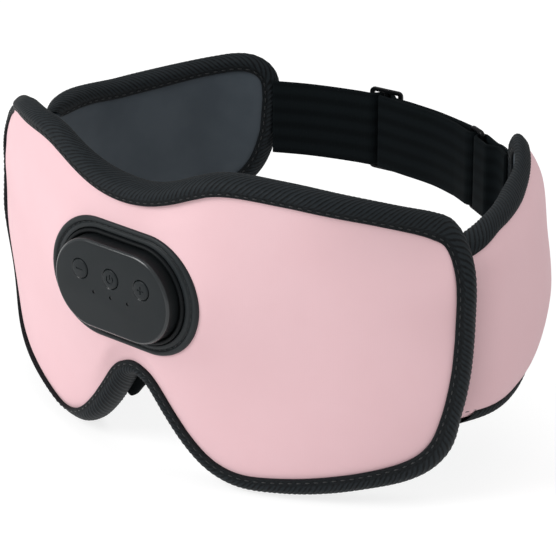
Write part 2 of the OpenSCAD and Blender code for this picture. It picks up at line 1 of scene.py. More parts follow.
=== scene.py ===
# %% [markdown]
# # A padded eye mask, sewn and moulded in mesh
# The mask has a wide front panel, two side wings, an elastic strap and a small control pod in a
# moulded dock. The solid model comes in first as a fixed frame. It says where each part is, and
# every cloth and moulded piece below is made round it, in metres.

# %% Load the frame
import math

import bmesh
import bpy
import numpy as np
from mathutils import Matrix, Vector


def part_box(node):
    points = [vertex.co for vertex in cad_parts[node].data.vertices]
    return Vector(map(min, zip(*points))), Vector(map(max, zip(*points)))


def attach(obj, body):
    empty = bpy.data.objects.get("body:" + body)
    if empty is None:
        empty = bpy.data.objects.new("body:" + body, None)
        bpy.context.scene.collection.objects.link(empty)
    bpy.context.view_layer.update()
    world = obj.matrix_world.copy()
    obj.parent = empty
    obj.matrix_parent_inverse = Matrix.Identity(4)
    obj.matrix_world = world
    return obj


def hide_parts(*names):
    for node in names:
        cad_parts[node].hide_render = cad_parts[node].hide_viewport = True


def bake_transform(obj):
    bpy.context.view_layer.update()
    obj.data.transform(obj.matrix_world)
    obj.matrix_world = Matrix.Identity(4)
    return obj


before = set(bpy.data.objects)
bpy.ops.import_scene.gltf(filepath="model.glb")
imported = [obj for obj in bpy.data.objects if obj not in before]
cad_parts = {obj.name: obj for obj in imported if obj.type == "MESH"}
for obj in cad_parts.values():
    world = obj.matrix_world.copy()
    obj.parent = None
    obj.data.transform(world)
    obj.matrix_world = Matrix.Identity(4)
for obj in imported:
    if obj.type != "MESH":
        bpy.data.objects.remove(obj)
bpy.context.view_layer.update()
mm = 0.001
SIDES = ((-1, "left"), (1, "right"))

# %% [markdown]
# ## Camera
# A long lens from the front and above, moved round to the +X side, keeps the lines of the panel
# almost parallel. A target that the camera tracks would also work, but then a small sideways
# shift turns the view as well. So the camera's three axes are written out, and it slides on them.

# %% Camera
AZIMUTH = math.radians(40.7)
ELEVATION = math.radians(24.35)
DISTANCE = 1.0879
LOOK_BASE = Vector((0, -8.59 * mm, 53.5 * mm))
SHIFT_RIGHT = 7.0 * mm
SHIFT_DOWN = 10.7 * mm
LENS = 229.4

right = Vector((math.cos(AZIMUTH), math.sin(AZIMUTH), 0))
ahead = Vector((-math.sin(AZIMUTH) * math.cos(ELEVATION), math.cos(AZIMUTH) * math.cos(ELEVATION),
                -math.sin(ELEVATION)))
up = right.cross(ahead)
camera = bpy.data.objects.new("camera", bpy.data.cameras.new("camera"))
bpy.context.scene.collection.objects.link(camera)
camera.data.lens = LENS
camera.data.clip_start = 0.05
camera.data.clip_end = 30
place = LOOK_BASE - ahead * DISTANCE + right * SHIFT_RIGHT - up * SHIFT_DOWN
camera.matrix_world = Matrix((
    (right.x, up.x, -ahead.x, place.x), (right.y, up.y, -ahead.y, place.y),
    (right.z, up.z, -ahead.z, place.z), (0, 0, 0, 1)))
bpy.context.scene.camera = camera
print("camera at", [round(x, 3) for x in place])

# %% [markdown]
# ## Studio floor
# The mask stands on white paper. A plain white floor turns grey away from the lamps, and a floor
# that only glows loses the shadow. So a camera ray sees a dim matt white with a little light of its
# own, while every other ray sees ordinary white. The floor lies a little below the frame's own
# lowest point, because the soft rim sags past the solid one.

# %% White paper
WHITE = (0.8, 0.8, 0.8, 1)
SEEN_WHITE = (0.34, 0.34, 0.34, 1)
GLOW = 0.78


def nodes_of(name):
    """A new material with an empty node tree: (material, tree, output node)."""
    material = bpy.data.materials.new(name)
    material.use_nodes = True
    tree = material.node_tree
    tree.nodes.clear()
    return material, tree, tree.nodes.new("ShaderNodeOutputMaterial")


def seen_directly(tree):
    """A socket that is 1 for camera, mirror and see-through rays."""
    path = tree.nodes.new("ShaderNodeLightPath")
    total = path.outputs["Is Camera Ray"]
    for ray in ("Is Glossy Ray", "Is Transmission Ray"):
        pick = tree.nodes.new("ShaderNodeMath")
        pick.operation = "MAXIMUM"
        tree.links.new(total, pick.inputs[0])
        tree.links.new(path.outputs[ray], pick.inputs[1])
        total = pick.outputs[0]
    return total


def paper_white():
    """Matt white that glows a little for the rays that see it directly."""
    material, tree, out = nodes_of("paper_white")
    matt = tree.nodes.new("ShaderNodeBsdfDiffuse")
    matt.inputs["Color"].default_value = WHITE
    dim = tree.nodes.new("ShaderNodeBsdfDiffuse")
    dim.inputs["Color"].default_value = SEEN_WHITE
    glow = tree.nodes.new("ShaderNodeEmission")
    glow.inputs["Strength"].default_value = GLOW
    both = tree.nodes.new("ShaderNodeAddShader")
    tree.links.new(dim.outputs[0], both.inputs[0])
    tree.links.new(glow.outputs[0], both.inputs[1])
    mix = tree.nodes.new("ShaderNodeMixShader")
    tree.links.new(seen_directly(tree), mix.inputs[0])
    tree.links.new(matt.outputs[0], mix.inputs[1])
    tree.links.new(both.outputs[0], mix.inputs[2])
    tree.links.new(mix.outputs[0], out.inputs[0])
    return material


white_paper = paper_white()
print("finish", white_paper.name)

# %% Paper floor
FLOOR_Z = -1.3 * mm
FLOOR_SIZE = 6

bm = bmesh.new()
bmesh.ops.create_grid(bm, x_segments=1, y_segments=1, size=FLOOR_SIZE)
bmesh.ops.translate(bm, vec=(0, 0, FLOOR_Z), verts=bm.verts)
floor_mesh = bpy.data.meshes.new("floor")
bm.to_mesh(floor_mesh)
bm.free()
floor = bpy.data.objects.new("floor", floor_mesh)
bpy.context.scene.collection.objects.link(floor)
floor_mesh.materials.append(white_paper)
print("floor at z", FLOOR_Z)

# %% [markdown]
# ## Lamps
# Product pictures are lit by wide soft boxes. One big disc at the front left gives the panel its
# slow fall from light to shade, a weak one fills the right side, and one above draws a line of
# light along the upper binding. A white sky lifts the shadows of the black cloth.

# %% Lamps and sky
SKY = 0.55
LIT_POINT = Vector((0, 0, 50 * mm))


def lamp(name, size, power, at):
    """A round area lamp that faces the mask."""
    light = bpy.data.lights.new(name, "AREA")
    light.shape = "DISK"
    light.size = size
    light.energy = power
    holder = bpy.data.objects.new(name, light)
    bpy.context.scene.collection.objects.link(holder)
    holder.location = at
    holder.rotation_euler = (LIT_POINT - Vector(at)).to_track_quat("-Z", "Y").to_euler()


world = bpy.data.worlds.new("studio")
world.use_nodes = True
world.node_tree.nodes["Background"].inputs["Color"].default_value = (1, 1, 1, 1)
world.node_tree.nodes["Background"].inputs["Strength"].default_value = SKY
bpy.context.scene.world = world
lamp("key", 0.9, 14.0, (-0.62, -1.17, 1.0))
lamp("fill", 1.2, 0.3, (1.3, -0.6, 0.8))
lamp("top", 1.0, 2.6, (0.1, 0.35, 1.5))
bpy.context.scene.view_settings.view_transform = "Standard"
print("lamps", [light.name for light in bpy.data.lights])

# %% [markdown]
# ## Building a finish
# Every finish here is one Principled shader with a pattern that is worked out, never an image. Noise
# gives clouding and grain, and waves give threads. A ramp turns a pattern into a tint, and a bump
# turns it into relief too fine for the mesh. Threads follow the piece's own UV map, which is laid
# out in metres, so that they turn with the cloth. The rest reads the piece's Object coordinates.

# %% Shader and patterns
def shader(name, colour, roughness, **values):
    """A material with one Principled shader: (material, tree, shader node)."""
    material, tree, out = nodes_of(name)
    node = tree.nodes.new("ShaderNodeBsdfPrincipled")
    node.inputs["Base Color"].default_value = (*colour, 1)
    node.inputs["Roughness"].default_value = roughness
    for key, value in values.items():
        node.inputs[key.replace("_", " ")].default_value = value
    tree.links.new(node.outputs[0], out.inputs[0])
    return material, tree, node


def coordinates(tree, source):
    """The piece's own "UV" or "Object" coordinates, as a socket."""
    return tree.nodes.new("ShaderNodeTexCoord").outputs[source]


def noise(tree, vector, scale, detail=3.0):
    """Cloudy noise from 0 to 1, as a socket."""
    node = tree.nodes.new("ShaderNodeTexNoise")
    node.inputs["Scale"].default_value = scale
    node.inputs["Detail"].default_value = detail
    tree.links.new(vector, node.inputs["Vector"])
    return node.outputs["Fac"]


def waves(tree, vector, scale, direction="X", distortion=0.0):
    """Even bands from 0 to 1 across one direction, as a socket."""
    node = tree.nodes.new("ShaderNodeTexWave")
    node.bands_direction = direction
    node.inputs["Scale"].default_value = scale
    node.inputs["Distortion"].default_value = distortion
    tree.links.new(vector, node.inputs["Vector"])
    return node.outputs["Fac"]


print("pattern helpers ready, materials so far", len(bpy.data.materials))


# %% Mixing, tinting and relief
def joined(tree, a, b, operation="ADD", weight=1.0):
    """a op weight*b, as a socket."""
    times = tree.nodes.new("ShaderNodeMath")
    times.operation = "MULTIPLY"
    times.inputs[1].default_value = weight
    tree.links.new(b, times.inputs[0])
    node = tree.nodes.new("ShaderNodeMath")
    node.operation = operation
    tree.links.new(a, node.inputs[0])
    tree.links.new(times.outputs[0], node.inputs[1])
    return node.outputs[0]


def tinted(tree, node, amount, dark, light, low=0.35, high=0.65):
    """Colours a shader between dark and light as amount goes from low to high."""
    ramp = tree.nodes.new("ShaderNodeValToRGB")
    ramp.color_ramp.elements[0].position = low
    ramp.color_ramp.elements[0].color = (*dark, 1)
    ramp.color_ramp.elements[1].position = high
    ramp.color_ramp.elements[1].color = (*light, 1)
    tree.links.new(amount, ramp.inputs[0])
    tree.links.new(ramp.outputs[0], node.inputs["Base Color"])


def bumped(tree, node, height, depth, strength=1.0):
    """Gives a shader fine relief of this depth in metres."""
    bump = tree.nodes.new("ShaderNodeBump")
    bump.inputs["Strength"].default_value = strength
    bump.inputs["Distance"].default_value = depth
    tree.links.new(height, bump.inputs["Height"])
    tree.links.new(bump.outputs[0], node.inputs["Normal"])


print("mixing helpers ready")

# %% [markdown]
# ## Cloth finishes
# The outside is a smooth close-knit cloth in a pale pink, and the side against the face is a dark
# satin. Both could be flat colours, but real cloth is never quite even, so a slow clouding moves
# the tint by a few parts in a hundred, and a thread too fine to count breaks up the shine.

# %% Blush cloth
THREADS = 620
SATIN_THREADS = 700


def blush_cloth():
    """Smooth close-knit cloth: faint clouding and a very fine thread both ways."""
    light = (0.935, 0.634, 0.672)
    dark = (0.915, 0.610, 0.645)
    material, tree, node = shader("blush_cloth", light, 0.8, Sheen_Weight=0.1,
                                  Sheen_Roughness=0.4, Specular_IOR_Level=0.3)
    tinted(tree, node, noise(tree, coordinates(tree, "Object"), 45), dark, light, 0.3, 0.75)
    across = waves(tree, coordinates(tree, "UV"), THREADS)
    down = waves(tree, coordinates(tree, "UV"), THREADS, "Y")
    bumped(tree, node, joined(tree, across, down, "MAXIMUM"), 0.02 * mm, 0.5)
    return material


blush = blush_cloth()
print("finish", blush.name)


# %% Slate lining
def slate_lining():
    """Close satin lining with a soft shine."""
    material, tree, node = shader("slate_lining", (0.078, 0.095, 0.112), 0.5, Sheen_Weight=0.05,
                                  Sheen_Roughness=0.35, Specular_IOR_Level=0.2)
    cloud = noise(tree, coordinates(tree, "Object"), 60)
    tinted(tree, node, cloud, (0.070, 0.085, 0.101), (0.087, 0.105, 0.123))
    diagonal = waves(tree, coordinates(tree, "UV"), SATIN_THREADS, "DIAGONAL")
    bumped(tree, node, diagonal, 0.02 * mm, 0.4)
    return material


slate = slate_lining()
print("finish", slate.name)

# %% [markdown]
# ## Black tapes and thread
# Binding, webbing and sewing thread are all black, and they are told apart by their structure. The
# binding is a twill whose ribs are real relief in the mesh. The mesh hands each rib's height to the
# finish as an attribute named rib, which paints shade into the hollows between the ribs, so that
# they are darker than the tops.
# The webbing is knitted elastic with close cords along its length. The thread is waxed and twisted.

# %% Binding finish
FIBRES = 1300
TWILL_DARK_FIBRE_AND_HOLLOW_SHADE = (0.003, 0.0038, 0.0045)
TWILL_LIGHT_FIBRE_AND_LIT_RIB_TOP = (0.0155, 0.0200, 0.0235)


def ribbed_binding():
    """Twill binding: painted shade darkens each rib's hollow, and loose fibres break up the tone."""
    material, tree, node = shader("ribbed_binding", (0.012, 0.014, 0.016), 0.6,
                                  Specular_IOR_Level=0.14)
    rib = tree.nodes.new("ShaderNodeAttribute")
    rib.attribute_name = "rib"
    fibre = noise(tree, coordinates(tree, "UV"), FIBRES, 2)
    shade = joined(tree, rib.outputs["Fac"], fibre, "ADD", 0.9)
    # painted shade: the rib attribute darkens the hollows and lightens the tops of the ribs
    tinted(tree, node, shade, TWILL_DARK_FIBRE_AND_HOLLOW_SHADE, TWILL_LIGHT_FIBRE_AND_LIT_RIB_TOP, 0.5, 1.4)
    bumped(tree, node, waves(tree, coordinates(tree, "UV"), SATIN_THREADS, "Y"), 0.04 * mm, 0.6)
    return material


ribbed = ribbed_binding()
print("finish", ribbed.name)

# %% Webbing and thread finishes
CORDS = 420
TWIST = 900


def black_webbing():
    """Knitted elastic: close cords along its length, crossed by a fine weft."""
    material, tree, node = shader("black_webbing", (0.005, 0.007, 0.008), 0.75,
                                  Specular_IOR_Level=0.05)
    cords = waves(tree, coordinates(tree, "UV"), CORDS, "Y")
    weft = waves(tree, coordinates(tree, "UV"), THREADS, "X")
    knit = joined(tree, cords, weft, "ADD", 0.5)
    tinted(tree, node, knit, (0.0035, 0.005, 0.0058), (0.006, 0.0085, 0.0098), 0.3, 1.2)
    bumped(tree, node, knit, 0.05 * mm, 0.6)
    return material


def thread_black():
    """Waxed sewing thread with a fine twist."""
    material, tree, node = shader("thread_black", (0.020, 0.024, 0.027), 0.4)
    twist = waves(tree, coordinates(tree, "Object"), TWIST, "DIAGONAL")
    tinted(tree, node, twist, (0.005, 0.006, 0.007), (0.013, 0.016, 0.018))
    return material


webbing_black = black_webbing()
thread = thread_black()
print("finishes", webbing_black.name, thread.name)

# %% [markdown]
# ## Moulded and metal finishes
# The pod and the dock are moulded in a spark-eroded tool, which leaves a faint grain. One plastic
# function makes them all, and only the tint and the shine differ: the pod's face is satin, its
# rounded edge is glossier and has a painted highlight, a lighter tint, its wall has painted shade,
# a darker tint, and the dock's bezel stays dark. The slider and the ring are a harder, glossier
# black.

# %% Plastics and metals
GRAIN = 2700


def satin_plastic(name, colour, roughness, specular):
    """Moulded plastic with a faint grain and a tint that drifts a little."""
    material, tree, node = shader(name, colour, roughness, Specular_IOR_Level=specular)
    where = coordinates(tree, "Object")
    darker, lighter = [0.92 * c for c in colour], [1.06 * c for c in colour]
    tinted(tree, node, noise(tree, where, 90), darker, lighter)
    bumped(tree, node, noise(tree, where, GRAIN, 2), 0.012 * mm, 0.5)
    return material


def plain_metal(name, colour, roughness):
    """Bare metal with a very fine brushed unevenness."""
    material, tree, node = shader(name, colour, roughness, Metallic=1.0)
    bumped(tree, node, noise(tree, coordinates(tree, "Object"), 2500), 0.01 * mm, 0.4)
    return material


charcoal = satin_plastic("charcoal_plastic", (0.017, 0.021, 0.023), 0.45, 0.2)
charcoal_face = satin_plastic("charcoal_face", (0.0115, 0.0150, 0.0168), 0.40, 0.20)
# painted shade: the pod's wall gets a darker tint; painted highlight: its rounded edge a lighter,
# glossier one
charcoal_wall_painted_shade = satin_plastic("charcoal_wall_painted_shade", (0.009, 0.011, 0.012), 0.4, 0.2)
glossy_edge_painted_highlight = satin_plastic("glossy_edge_painted_highlight", (0.018, 0.022, 0.024), 0.2, 0.5)
bezel_black = satin_plastic("bezel_black", (0.006, 0.0075, 0.0085), 0.5, 0.12)
black_plastic = satin_plastic("black_plastic", (0.0035, 0.004, 0.0045), 0.25, 0.16)
steel = plain_metal("steel", (0.55, 0.56, 0.57), 0.3)
gold = plain_metal("gold_contact", (0.80, 0.55, 0.22), 0.25)
print("materials", len(bpy.data.materials))

# %% [markdown]
# ## From a flat pattern to the curved mask
# Cloth is cut flat and then bent, so each soft piece is drawn on a flat pattern. On the front
# panel s runs along the curve, z runs up and t is the depth behind the outer face. The wings use
# u, z and t in the same way. Two functions bend those numbers to their place in space. The pieces
# could also be sculpted in place, but then the cloth, its pad, its binding and its stitches would
# each need their own fit, and here they share one surface.

# %% Main sizes
FRONT_R = 119.5 * mm
FRONT_T = 9.2 * mm
LEAN = math.tan(math.radians(3.4))
LEAN_Z = 54 * mm
WING_T = 7.8 * mm
HEAD_R = 81.83 * mm
SEAM_AT = math.radians(92.4)
POD_PROUD = 7.8 * mm
NOSE_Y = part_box("pod_front_cover")[0].y + POD_PROUD
HEAD_Y = NOSE_Y + 55 * mm
print("panel's nose at y", round(NOSE_Y, 4), "middle of the head at y", round(HEAD_Y, 4))

# %% [markdown]
# ### Pattern outlines
# A maker draws half a pattern and folds the card. The front panel is drawn the same way: a few
# points for one half of its upper and its lower edge, in millimetres, mirrored and joined by a
# smooth curve that passes through all of them. A wing has one upper and one lower edge.

# %% Pattern outlines
STEPS = 8


def spline(points, per):
    """A smooth curve through points, with per steps between neighbours."""
    p = np.asarray(points, float)
    q = np.vstack([p[:1], p, p[-1:]])
    a, b, c, d = (q[i:len(q) - 3 + i, None] for i in range(4))
    w = (np.arange(per) / per)[None, :, None]
    body = 0.5 * (2 * b + (c - a) * w + (2 * a - 5 * b + 4 * c - d) * w ** 2
                  + (3 * b - a - 3 * c + d) * w ** 3)
    return np.vstack([body.reshape(-1, p.shape[1]), p[-1:]])


def both_halves(half):
    """Half an edge from the middle outwards, with its mirror image in front."""
    half = np.asarray(half, float)
    return np.vstack([half[:0:-1] * (-1, 1), half])


upper_half = [(0, 86.5), (5, 86.8), (10, 87.6), (15, 89), (20, 90.9), (26, 93.5), (32, 95.6),
              (39, 96.4), (48, 96), (60, 94.6), (75, 91.4), (88, 87.4), (95.5, 84.4), (99.9, 81.3),
              (102.1, 74), (102.2, 62.3)]
lower_half = [(0, 33.8), (5, 32.3), (9, 29), (14.5, 21.7), (20, 15.1), (26, 9.9), (32, 7.1),
              (39, 6), (48, 6.6), (60, 8.2), (75, 11.2), (88, 15.2), (95, 20.6), (98.6, 29.8),
              (101, 42.3), (102, 54.3)]
wing_upper = [(-5.1, 73.1), (9.2, 74), (24.6, 74.9), (39, 75.8), (51.3, 76.9), (61.6, 78.1),
              (68.8, 78.9), (73.4, 78.2), (76.4, 75.3), (77, 69.4)]
wing_lower = [(0, 24.9), (12.3, 25.3), (24.6, 26.3), (39, 29), (50.3, 32.5), (60.1, 37.3),
              (67.3, 42.2), (71.7, 46.7), (74.3, 51.9), (76.2, 58.4)]
front_top = spline(both_halves(upper_half), STEPS) * mm
front_low = spline(both_halves(lower_half), STEPS) * mm
wing_top = spline(wing_upper, STEPS) * mm
wing_low = spline(wing_lower, STEPS) * mm
front_edge = np.vstack([front_top, front_low[::-1]])
wing_edge = np.vstack([wing_top, wing_low[::-1]])
print("pattern points: front", len(front_edge), "wing", len(wing_edge))

# %% [markdown]
# ### Soft steps
# Nothing on a sewn thing starts or stops at a line. So every local form below is a size times one
# or two soft steps: rising and falling go smoothly between 0 and 1, and hump is a low hill.

# %% Soft steps
def ease(v):
    """0 up to 0, 1 from 1 on, and smooth between."""
    v = np.clip(v, 0, 1)
    return v * v * (3 - 2 * v)


def rising(v, start, over):
    """0 until v reaches start, 1 from over past it."""
    return ease((v - start) / over)


def falling(v, start, over):
    """0 while v is above start, 1 from over below it."""
    return ease((start - v) / over)


def hump(v, middle, width):
    """1 at the middle, and almost nothing two widths away."""
    return np.exp(-((v - middle) / width) ** 2)


print("soft step half way:", float(rising(0.5, 0, 1)))

# %% [markdown]
# ### Corners that curl, and edges that are squeezed
# A worn mask is not symmetrical. Its upper corners curl in towards the temples, each in its own way,
# the cheek on one side turns under, and the foam is thinner towards the upper edge, where the
# binding is pulled tight. Each of these is one short function of the pattern, so it can be changed
# or left out without touching the rest.

# %% Curls of the upper corners
HALF_FACE = 102.2 * mm
CORNER_CURL = 7.6 * mm
CURL_S = 58 * mm
CURL_Z = 64 * mm
CURL_W = 13 * mm
LEFT_CURL = 5.4 * mm
LEFT_EASING = 0.42


def lifted(z):
    """How far the curl of the upper corners has gone at height z."""
    v = np.maximum((z - CURL_Z) / CURL_W, 0)
    return np.where(v < 1, v * v / 2, v - 0.5)


def near_end(s):
    """0 in the middle of the panel and 1 at its ends."""
    return np.clip((np.abs(s) - CURL_S) / (HALF_FACE - CURL_S), 0, 1.1) ** 2


def left_curl(s, z):
    """The curl of the corner on the -X side, which starts nearer the middle and is softer."""
    reach = np.clip((-s - 40 * mm) / (60 * mm), 0, 1) ** 1.5
    return LEFT_CURL * (reach - LEFT_EASING * falling(s, -90 * mm, 14 * mm)) * lifted(z)


print("corner curls at the top, mm:", round(float(1000 * left_curl(-HALF_FACE, 81 * mm)), 1), "and",
      round(float(1000 * CORNER_CURL * near_end(HALF_FACE) * lifted(81 * mm)), 1))

# %% Squeezed foam, sagging edges and the cheek that turns under
TURNED_UNDER = 4.6 * mm
CORNER_DROP = 4.5 * mm
CHEEK_DROP = 1.3 * mm
SQUEEZED_LEFT = 0.36
SQUEEZED_CORNER = 0.2
SQUEEZED_RIGHT = 0.14


def turned_under(s, z, d):
    """How far the rim of the -X cheek turns in under the panel, d past the cloth edge."""
    return (TURNED_UNDER * rising(d, 0, 5 * mm) * falling(s, -22 * mm, 22 * mm)
            * falling(z, 46 * mm, 20 * mm))


def squeezed(s, z):
    """How far the foam is squeezed towards the panel's upper edge, as a share of its thickness."""
    share = (SQUEEZED_LEFT * falling(s, 0, 26 * mm) + SQUEEZED_CORNER * falling(s, -50 * mm, 30 * mm)
             + SQUEEZED_RIGHT * rising(s, 10 * mm, 40 * mm))
    below_edge = np.interp(s, front_top[:, 0], front_top[:, 1]) - z
    return share * rising(z, 58 * mm, 26 * mm) * falling(below_edge, 15 * mm, 12 * mm)


def sag(s, z):
    """How much lower the upper corner on the -X side and both cheeks hang."""
    corner = np.clip((-s - 60 * mm) / (40 * mm), 0, 1) * np.clip((z - 62 * mm) / (19 * mm), 0, 1)
    cheeks = rising(s, 8 * mm, 30 * mm) + 1.1 * hump(s, -38 * mm, 13 * mm)
    return CORNER_DROP * corner + CHEEK_DROP * cheeks * falling(z, 44 * mm, 34 * mm)


print("foam squeezed by up to", round(float(squeezed(-90 * mm, 86 * mm)), 2), "of its thickness")

# %% [markdown]
# ### Foam that stands forward round the dock
# The dock is flat and the panel is round, so on the real mask the foam stands forward round the
# dock and the cloth leaves the flange like a tent. dock_swell finds the nearest point of the
# flange's outline, asks how far the cloth must rise to meet it there, and lets that fade out.

# %% Swelling round the dock
POD_Z = 59.5 * mm
POD_W = 45.5 * mm
POD_H = 28.2 * mm
FLANGE_W = 58.1 * mm
FLANGE_H = 38.2 * mm
CLOTH_AT_DOCK = 1.8 * mm
DOCK_REACH = 34 * mm


def from_middle_line(x, z, w, h):
    """The nearest place on the middle line of the dock's w by h stadium, and how far it is."""
    middle = np.clip(x, -(w - h) / 2, (w - h) / 2)
    return middle, np.hypot(x - middle, z - POD_Z)


def dock_swell(s, x, z):
    """How far the cloth stands in front of the round panel."""
    middle, away = from_middle_line(x, z, FLANGE_W, FLANGE_H)
    share = np.minimum(1, FLANGE_H / 2 / np.maximum(away, 1e-6))
    near_x, near_z = middle + (x - middle) * share, POD_Z + (z - POD_Z) * share
    r = FRONT_R + (near_z - LEAN_Z) * LEAN
    rise = np.maximum(FRONT_R - np.sqrt(r ** 2 - near_x ** 2) + CLOTH_AT_DOCK, 0)
    fade = np.clip(1 - (away - FLANGE_H / 2) / DOCK_REACH, 0, 1) ** 2
    top = np.interp(s, front_top[:, 0], front_top[:, 1])
    low = np.interp(s, front_low[:, 0], front_low[:, 1])
    return rise * fade * rising(np.minimum(top - z, z - low), 0, 8 * mm)


print("cloth rises at the flange's end by", round(float(1000 * dock_swell(
    FLANGE_W / 2, FLANGE_W / 2, POD_Z)), 2), "mm")

# %% [markdown]
# ### The two bent surfaces
# The front panel is part of a cone that leans a little, and each wing is part of a cylinder round
# the head. A bend adds its local forms to the radius or to the height. Both wings are cut alike,
# but each has been bent by hand, so each has forms of its own.

# %% The front panel's surface
SQUEEZE = 4 * mm
CURL_SOFT = 5 * mm
BELLY, BELLY_Z, BELLY_W = 1.8 * mm, 35 * mm, 22 * mm
LEFT_BELLY, LEFT_BELLY_Z, LEFT_BELLY_W = 1.62 * mm, 43 * mm, 14 * mm


def on_front(s, z, t):
    """Places of pattern points on the front panel, as an array of xyz."""
    s, z, t = np.broadcast_arrays(s, z, t)
    left = s < 0
    t = t - squeezed(s, z) * np.clip(t, 0, FRONT_T)
    curl = np.where(left, left_curl(s, z), CORNER_CURL * near_end(s) * lifted(z))
    pinch = np.where(left, 0, SQUEEZE) * (1 - np.exp(-curl / CURL_SOFT)) * t / FRONT_T
    belly = near_end(s) * np.where(left, LEFT_BELLY * hump(z, LEFT_BELLY_Z, LEFT_BELLY_W),
                                   BELLY * hump(z, BELLY_Z, BELLY_W))
    r = FRONT_R + (z - LEAN_Z) * LEAN - t - curl + pinch + belly
    a = s / FRONT_R
    x = r * np.sin(a)
    forward = dock_swell(s, x, z) * np.clip(1 - t / FRONT_T, 0, 1)
    return np.stack([x, NOSE_Y + FRONT_R - r * np.cos(a) - forward, z - sag(s, z)], -1)


print("front corner at", [round(1000 * float(v), 1) for v in on_front(HALF_FACE, 62 * mm, 0)], "mm")

# %% The wings' surface
WING_CURL = 5.4 * mm
PINCH_LEN = 16 * mm
PINCHED = 0.4


def right_forms(u, z, r):
    """Height and radius of the +X wing with its own lean, fullness, low start and raised tip."""
    lean = 0.08 * (z - 58 * mm) * rising(u, 0, 22 * mm)
    flat = 0.8 * mm * rising(u, 8 * mm, 16 * mm)
    flare = 1.5 * mm * rising(u, 44 * mm, 28 * mm) * rising(z, 58 * mm, 16 * mm)
    full = 1.2 * mm * rising(u, 12 * mm, 20 * mm) * hump(z, 46 * mm, 17 * mm)
    low_start = 3.6 * mm * rising(z, 60 * mm, 12 * mm) * (1 - rising(u, -2 * mm, 22 * mm))
    rim_up = 3 * mm * rising(u, 24 * mm, 24 * mm) * falling(z, 50 * mm, 14 * mm)
    tip_up = 1.3 * mm * rising(u, 50 * mm, 20 * mm) * rising(z, 62 * mm, 12 * mm)
    return z - low_start + rim_up + tip_up, r - lean - flat + flare + full


def left_forms(u, z, r):
    """Height and radius of the -X wing, which stands up and out where it leaves the panel."""
    near_seam = rising(u, -9 * mm, 12 * mm) * (1 - rising(u, 8 * mm, 22 * mm))
    z = z + 2.2 * mm * near_seam * rising(z, 60 * mm, 12 * mm)
    return z, r + 2 * mm * (1 - rising(u, 0, 18 * mm)) * rising(z, 56 * mm, 14 * mm)


def on_wing(u, z, t, side=1):
    """Places of pattern points on a wing; side is 1 on the mask's +X side and -1 on the other."""
    u, z, t = np.broadcast_arrays(u, z, t)
    a = SEAM_AT - u / HEAD_R
    pinch = np.where(u < PINCH_LEN,
                     1 - PINCHED * (1 - np.maximum(u, -2 * mm) / PINCH_LEN) ** 2, 1)
    curl = WING_CURL * lifted(z) * np.maximum(1 - np.maximum(u, 0) / (26 * mm), 0) ** 2
    thin = 0.3 * rising(u, 4 * mm, 16 * mm) + 0.3 * rising(u, 38 * mm, 26 * mm)
    r = HEAD_R - WING_T / 2 + (WING_T - t) * pinch - curl + thin * np.clip(t, 0, WING_T)
    z, r = right_forms(u, z, r) if side > 0 else left_forms(u, z, r)
    return np.stack([side * r * np.sin(a), HEAD_Y + r * np.cos(a), z], -1)


def wing_bend(side):
    """The bend of one wing, as a function of pattern points only."""
    return lambda u, z, t: on_wing(u, z, t, side)


print("wing tips at", [[round(1000 * float(v), 1) for v in on_wing(77 * mm, 69 * mm, 0, side)]
                       for side, _ in SIDES], "mm")

# %% [markdown]
# ### Along a path and beside it
# Tapes, stitches and webbing all follow a path. Three small helpers say how far along a path each
# of its points lies, what the path is at any distance, and which way is outwards beside it.

# %% Path helpers
def arc_of(path):
    """Distance along a path at each of its points."""
    steps = np.linalg.norm(np.diff(path, axis=0), axis=1)
    return np.concatenate([[0], np.cumsum(steps)])


def along(path, arc, want):
    """The path's values at any distances along it."""
    return np.stack([np.interp(want, arc, path[:, k]) for k in range(path.shape[1])], -1)


def outward(path, closed):
    """Unit normals on the left of a path."""
    if closed:
        step = np.roll(path, -1, 0) - np.roll(path, 1, 0)
    else:
        step = np.gradient(path, axis=0)
    step /= np.linalg.norm(step, axis=1, keepdims=True)
    return np.stack([-step[:, 1], step[:, 0]], -1)


rim_length = arc_of(np.vstack([front_edge, front_edge[:1]]))[-1]
print("rims, mm: front", round(1000 * rim_length), "wing", round(1000 * arc_of(wing_edge)[-1]))

# %% [markdown]
# ## Laying a grid
# Most soft pieces start as one flat grid from bmesh.ops.create_grid, whose points are then moved
# to their places. The grid brings a UV map with it, which is stretched to real metres so that
# threads keep one size on every piece.

# %% Grids
def laid_grid(places, size, join_u=False, join_v=False):
    """A bmesh grid whose point (i, j) is moved to places[i, j]; size is its UV map's size."""
    nu, nv = places.shape[0] - 1, places.shape[1] - 1
    bm = bmesh.new()
    uv = bm.loops.layers.uv.new("UVMap")
    bmesh.ops.create_grid(bm, x_segments=nu, y_segments=nv, size=0.5, calc_uvs=True)
    for v in bm.verts:
        v.co = places[round((v.co.x + 0.5) * nu), round((v.co.y + 0.5) * nv)]
    for face in bm.faces:
        for loop in face.loops:
            loop[uv].uv = (loop[uv].uv.x * size[0], loop[uv].uv.y * size[1])
    if join_u or join_v:
        bmesh.ops.remove_doubles(bm, verts=bm.verts, dist=1e-6)
    return bm


def closed_ends(bm):
    """Caps the open ends of a tube."""
    rim = [e for e in bm.edges if e.is_boundary]
    bmesh.ops.holes_fill(bm, edges=rim, sides=0)
    bmesh.ops.recalc_face_normals(bm, faces=bm.faces)


print("grid helpers ready")

# %% [markdown]
# ## From a bmesh to a piece of the mask
# Each new piece says three things to the frame: which body it rides on when the mask moves, which
# solid parts it stands for, and which finish slot it has.

# %% Pieces
def belongs(made, body=None, nodes=()):
    """Says which body a piece rides on, which solids it stands for."""
    if body:
        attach(made, body)
    if nodes:
        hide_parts(*nodes)


